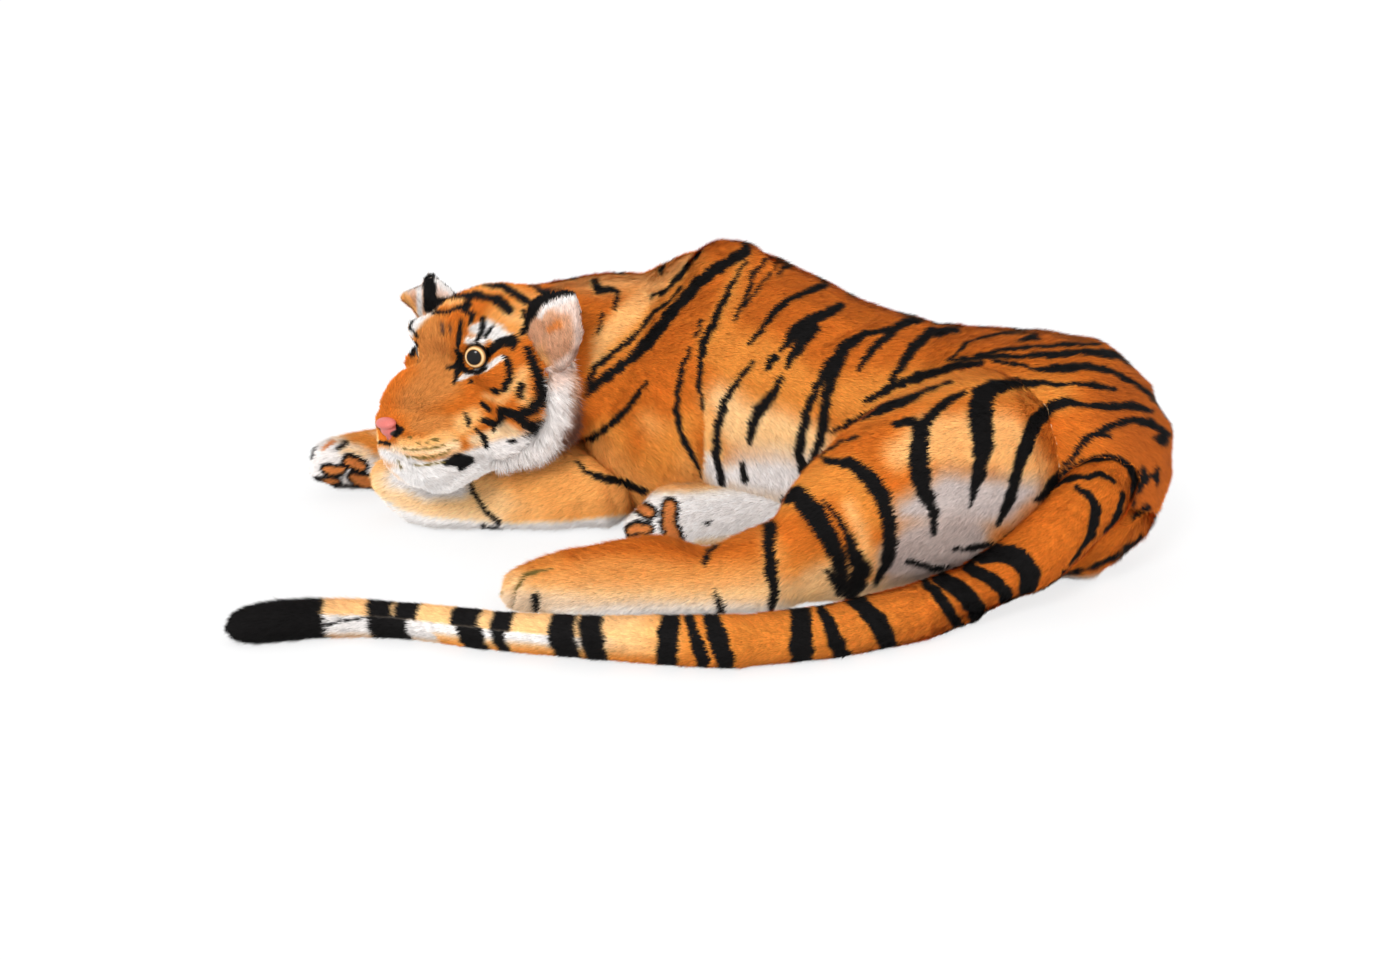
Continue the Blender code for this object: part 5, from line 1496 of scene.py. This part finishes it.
for (name, middle, line, out, front), turn, patches, marks, pushes, seed in (
        (EARS[0], 0, EAR_PATCHES, EAR_MARKS, EAR_PUSHES, 61),
        (EARS[1], FAR_EAR_TURN, FAR_EAR_PATCHES, (), FAR_EAR_PUSHES, 62)):
    skin = skin_of(name + "_cover", [name], EAR_VOXEL, EAR_ROUNDS, EAR_INSET)
    points, _ = read(skin)
    twist = Matrix.Rotation(math.radians(turn), 3, "Z")
    write(skin, (points - np.array(middle)) @ np.array(twist).T + np.array(middle))
    line, out, front = twist @ line, twist @ out, twist @ front
    pushed(skin, pushes)
    points, _ = read(skin)
    away = points - np.array(middle)
    height = np.abs(away @ np.array(line)).max()
    width = np.abs(away @ np.array(out)).max()
    colour_of = ear_colour(middle, line, out, front, height, width, patches, marks)
    outward = np.array(line) * EAR_FLOW[0] + np.array(out) * EAR_FLOW[1]
    fur = coated(skin, seed, colour_of, lambda places, normals: outward, pile=EAR_PILE)
    piece(skin, fur, [name], body=name)


# The ruffs: long hair that sweeps away from the face
def ruff_flow(places, normals):
    here = head_local(places)
    local = (here - RUFF_MIDDLE) * RUFF_SPREAD + RUFF_SWEEP
    local[:, 1] = np.where(here[:, 1] < 0, here[:, 1] + FAR_RUFF_SHIFT, local[:, 1])
    return local @ np.array(HEAD_AXES).T


def ruff_colour(places, normals):
    # Painted shade: fawn on the ruff's back side, turned from the face, deepening to umber low down
    behind = ease(0.1, -0.5, normals @ np.array(HEAD_AXES)[:, 0])
    shaded = behind * 0.75 * ease(0.0, -0.05, head_local(places)[:, 2])
    colours = laid(plain(SNOW, places), (FAWN, behind * 0.5), (UMBER, shaded))
    return printed(places, normals, toned(colours, places), 1, RUFF_PATCHES, ())


def ruff_pile(places, normals):
    """Longest at the bottom."""
    return 0.35 + 0.65 * ease(0.03, -0.04, head_local(places)[:, 2])


for name, seed in (("left_ruff", 71), ("right_ruff", 72)):
    skin = skin_of(name + "_cover", [name], FINE_VOXEL, RUFF_ROUNDS, RUFF_INSET)
    pushed(skin, RUFF_PUSHES)
    fur = coated(skin, seed, ruff_colour, ruff_flow, ruff_pile, thickness=RUFF_STRANDS, pile=RUFF_PILE,
                 width=RUFF_BLADE, upright=0.45, unruly=0.35, tufts=90.0, tufting=1.2)
    piece(skin, fur, [name], body="head")


# The glass eyes
def eye_paint(radius, angle):
    """From the black pupil out through a streaked gold ring to a dark rim."""
    fine, slow, coarse = IRIS_STREAKS
    streaks = 0.5 + 0.5 * np.sin(angle * coarse + 2 * np.sin(angle * slow)) * np.sin(angle * fine)
    return laid(plain(INK, radius),
                (BRONZE, ease(PUPIL, PUPIL + 0.0006, radius)),
                (GILT, ease(PUPIL + 0.0004, PUPIL + 0.0014, radius) * (0.82 + 0.18 * streaks)),
                (BRONZE, ease(IRIS - 0.0012, IRIS, radius) * 0.9),
                (INK, ease(IRIS + 0.0002, IRIS + 0.0009, radius)))


def glass_eye(name, centre, axis):
    """A domed eye of rings round its axis, closed at the back."""
    across = axis.orthogonal().normalized()
    other = axis.cross(across)
    turns = [ring / EYE_RINGS * math.pi / 2 for ring in range(EYE_RINGS + 1)]
    profile = [(EYE_RADIUS * math.sin(turn), EYE_LIFT + EYE_DOME * math.cos(turn)) for turn in turns]
    profile += [(profile[-1][0], -EYE_BACK), (0.0, -EYE_BACK)]
    shape = bmesh.new()
    rows = []
    reach = []
    for radius, height in profile:
        count = 1 if radius == 0 else EYE_STEPS
        angles = [2 * math.pi * step / count for step in range(count)]
        rows.append([shape.verts.new(centre + axis * height
                                     + (across * math.cos(angle) + other * math.sin(angle)) * radius)
                     for angle in angles])
        reach += [(radius, angle) for angle in angles]
    for before, after in zip(rows, rows[1:]):
        for step in range(EYE_STEPS):
            corners = [before[step % len(before)], after[step % len(after)],
                       after[(step + 1) % len(after)], before[(step + 1) % len(before)]]
            shape.faces.new(list(dict.fromkeys(corners)))
    bmesh.ops.recalc_face_normals(shape, faces=shape.faces)
    for face in shape.faces:
        face.smooth = True
    eye = object_of(shape, name + "_glass")
    store(eye, "coat", "FLOAT_COLOR", eye_paint(*np.array(reach).T))
    eye.data.materials.append(EYE_GLASS)
    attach(eye, "head")
    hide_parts(name)


EYE_GLASS = eye_glass()
for name, centre, axis in EYES:
    glass_eye(name, centre, axis)

WASHER = washer_plastic()
for name in ("left_eye_washer", "right_eye_washer"):
    for slot in frame["nodes"][name].material_slots:
        slot.material = WASHER


# The nose
def nose_pad():
    """A soft three-cornered nose with its nostrils printed at the sides."""
    shape = bmesh.new()
    for place, radii in NOSE_LUMPS:
        head_ball(shape, place, radii)
    nose = softened(remeshed(object_of(shape, "nose_pad"), NOSE_VOXEL), NOSE_ROUNDS)
    points, _ = read(nose)
    local = head_local(points)
    side = np.abs(local[:, 1])
    (out, wide), (up, tall) = NOSTRIL
    nostril = np.sqrt(((side - out) / wide) ** 2 + ((local[:, 2] - up) / tall) ** 2)
    colours = laid(plain(ROSE, points),
                   # Painted light: the top of the nose a lighter copy of its pink
                   (np.array(ROSE) * 1.15, ease(-0.010, -0.003, local[:, 2])),
                   (INK, ease(1.25, 0.85, nostril)),
                   (UMBER, ease(0.0016, 0.0006, side) * ease(-0.020, -0.024, local[:, 2])))
    store(nose, "coat", "FLOAT_COLOR", colours)
    nose.data.materials.append(nose_leather())
    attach(nose, "head")
    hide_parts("nose")


nose_pad()


# The tail's middle line as points, and each point's share of the way from the root
TAIL_MIDDLES = np.array(TAIL_LINE)
TAIL_STEPS = np.linalg.norm(np.diff(TAIL_MIDDLES, axis=0), axis=1)
TAIL_BEFORE = np.concatenate([[0], np.cumsum(TAIL_STEPS)])
TAIL_SHARES = TAIL_BEFORE / TAIL_BEFORE[-1]
TAIL_SPOTS = pixels(TAIL_MIDDLES)[0]


def tail_way(places):
    """Each place's share of the way along the tail, from its root to its tip."""
    best = np.full(len(places), np.inf)
    way = np.zeros(len(places))
    for index, length in enumerate(TAIL_STEPS):
        start = TAIL_MIDDLES[index]
        step = TAIL_MIDDLES[index + 1] - start
        low = -1.0 if index == 0 else 0.0
        high = 2.0 if index == len(TAIL_STEPS) - 1 else 1.0
        share = np.clip((places - start) @ step / (step @ step), low, high)
        gap = np.linalg.norm(places - start - share[:, None] * step, axis=1)
        closer = gap < best
        best = np.where(closer, gap, best)
        way = np.where(closer, TAIL_BEFORE[index] + share * length, way)
    return way / TAIL_BEFORE[-1]


def band(across, high, low):
    """1 between a band's two columns, with soft edges."""
    return (ease(high + BAND_EDGE, high - BAND_EDGE, across)
            * ease(low - BAND_EDGE, low + BAND_EDGE, across))


def tail_colour(places, normals):
    """Rings along the tail, in two strips that meet at its seam, with a pale lower strip near the tip.

    Fades along it are in the photograph's columns, and those over it in pixels below its middle line.
    """
    way = tail_way(places)
    spots, sight = pixels(places)
    below = spots[:, 1] - np.interp(way, TAIL_SHARES, TAIL_SPOTS[:, 1])
    across = np.interp(way, TAIL_SHARES, TAIL_SPOTS[:, 0]) + ripple(places, 0.02, 61) - 0.15 * below
    upper = ease(-1.5, -4.5, below)
    hidden = 1 - seen_share(normals, sight)
    pale = ease(630, 560, across) * (1 - upper)
    pale = pale * np.where(across > 440, ease(11, 3, below), ease(22, 10, below))
    colours = laid(plain(ORANGE, places),
                   (AMBER, ease(1000, 800, across) * 0.7),
                   (PEACH, ease(700, 640, across) * ease(20, 8, below) * 0.9),
                   (CREAM, ease(680, 620, across) * ease(14, 4, below) * 0.4),
                   (SNOW, pale))
    colours = toned(colours, places)
    for bands, cover in ((TAIL_BANDS, 1), (TAIL_TOP_BANDS, upper), (TAIL_LOW_BANDS, 1 - upper),
                         (TAIL_ROOT_BANDS, hidden)):
        for high, low in bands:
            colours = laid(colours, (INK, band(across, high, low) * cover))
    return printed(places, normals, colours, 1, (), TAIL_MARKS + RUMP_MARKS)


def tail_flow(places, normals):
    """Along the tail, towards its tip."""
    way = tail_way(places)
    here, ahead = [np.stack([np.interp(at, TAIL_SHARES, TAIL_MIDDLES[:, axis]) for axis in range(3)], 1)
                   for at in (np.clip(way, 0, 1 - FLOW_STEP), np.clip(way + FLOW_STEP, 0, 1))]
    return ahead - here


def tail_pile(places, normals):
    """Longer at the tuft."""
    return 0.8 + 0.6 * ease(0.84, 0.9, tail_way(places))


# The tail is one skin, cut into three lengths at its joints
tail = skin_of("tail", ["tail_root", "tail_upper", "tail_middle", "tail_lower", "tail_tip"],
               FINE_VOXEL, TAIL_ROUNDS, SKIN_INSET)
pushed(tail, TAIL_PUSHES)
way = tail_way(read(tail)[0])
joints = {joint["name"]: joint for joint in frame["joints"]}
for number, (joint, before, after, low, high, nodes) in enumerate(TAIL_LENGTHS):
    length = split(tail, (way > low) & (way <= high), "tail_cover_" + after)
    pivot = Vector(joints[joint]["pos_m"])
    at = int(np.argmin([(Vector(row) - pivot).length for row in TAIL_LINE]))
    before_it, after_it = TAIL_LINE[max(at - 1, 0)], TAIL_LINE[min(at + 1, len(TAIL_LINE) - 1)]
    line_way = (Vector(after_it) - Vector(before_it)).normalized()
    fur = coated(length, TAIL_SEED + number, tail_colour, tail_flow, tail_pile, pile=TAIL_PILE)
    piece(length, fur, nodes,
          bend=(before, after, pivot - line_way * BEND_REACH, pivot + line_way * BEND_REACH))
bpy.data.objects.remove(tail)
bpy.data.objects.remove(BLADE)


# Floor, light and camera
def looked_at(finish):
    """1 where a surface is looked at, straight, in gloss or through glass."""
    ray = finish.node("ShaderNodeLightPath", {}, {})
    return ray["Is Camera Ray"] + ray["Is Glossy Ray"] + ray["Is Transmission Ray"]


def pale_floor():
    """White where it is looked at, with the object's shadow still on it."""
    finish = Finish("pale_floor")
    white = finish.node("ShaderNodeEmission", {}, {"Color": WHITE, "Strength": 1.0})["Emission"]
    matt = finish.node("ShaderNodeBsdfDiffuse", {}, {"Color": FLOOR_GREY})["BSDF"]
    share = looked_at(finish) * FLOOR_WHITE
    mixed = finish.node("ShaderNodeMixShader", {}, {0: share, 1: matt, 2: white})["Shader"]
    finish.node("ShaderNodeOutputMaterial", {}, {"Surface": mixed})
    return finish.material


floor_shape = bmesh.new()
bmesh.ops.create_grid(floor_shape, x_segments=1, y_segments=1, size=FLOOR_HALF)
floor = object_of(floor_shape, "floor")
floor.data.materials.append(pale_floor())

world = bpy.data.worlds.new("studio")
bpy.context.scene.world = world
studio = Finish("studio", world)
dim = studio.node("ShaderNodeBackground", {}, {"Color": WHITE, "Strength": STUDIO_LIGHT})["Background"]
bright = studio.node("ShaderNodeBackground", {}, {"Color": WHITE, "Strength": 1.0})["Background"]
air = studio.node("ShaderNodeMixShader", {}, {0: looked_at(studio), 1: dim, 2: bright})["Shader"]
studio.node("ShaderNodeOutputWorld", {}, {"Surface": air})


def aimed(made, place, aim):
    """Sets a lamp or a camera at a place, looking at its aim."""
    made.location = place
    made.rotation_euler = (Vector(aim) - Vector(place)).to_track_quat("-Z", "Y").to_euler()


for name, place, spread, power in LAMPS:
    light = bpy.data.lights.new(name, "SUN")
    light.angle = math.radians(spread)
    light.energy = power
    aimed(linked(name, light), place, LAMP_AIM)

camera = bpy.data.cameras.new("camera")
camera.sensor_width = SENSOR
camera.lens = FOCAL_PIXELS / PHOTO_WIDTH * SENSOR
camera_object = linked("camera", camera)
aimed(camera_object, CAMERA_PLACE, CAMERA_AIM)
bpy.context.scene.camera = camera_object
bpy.context.scene.view_settings.view_transform = "Standard"
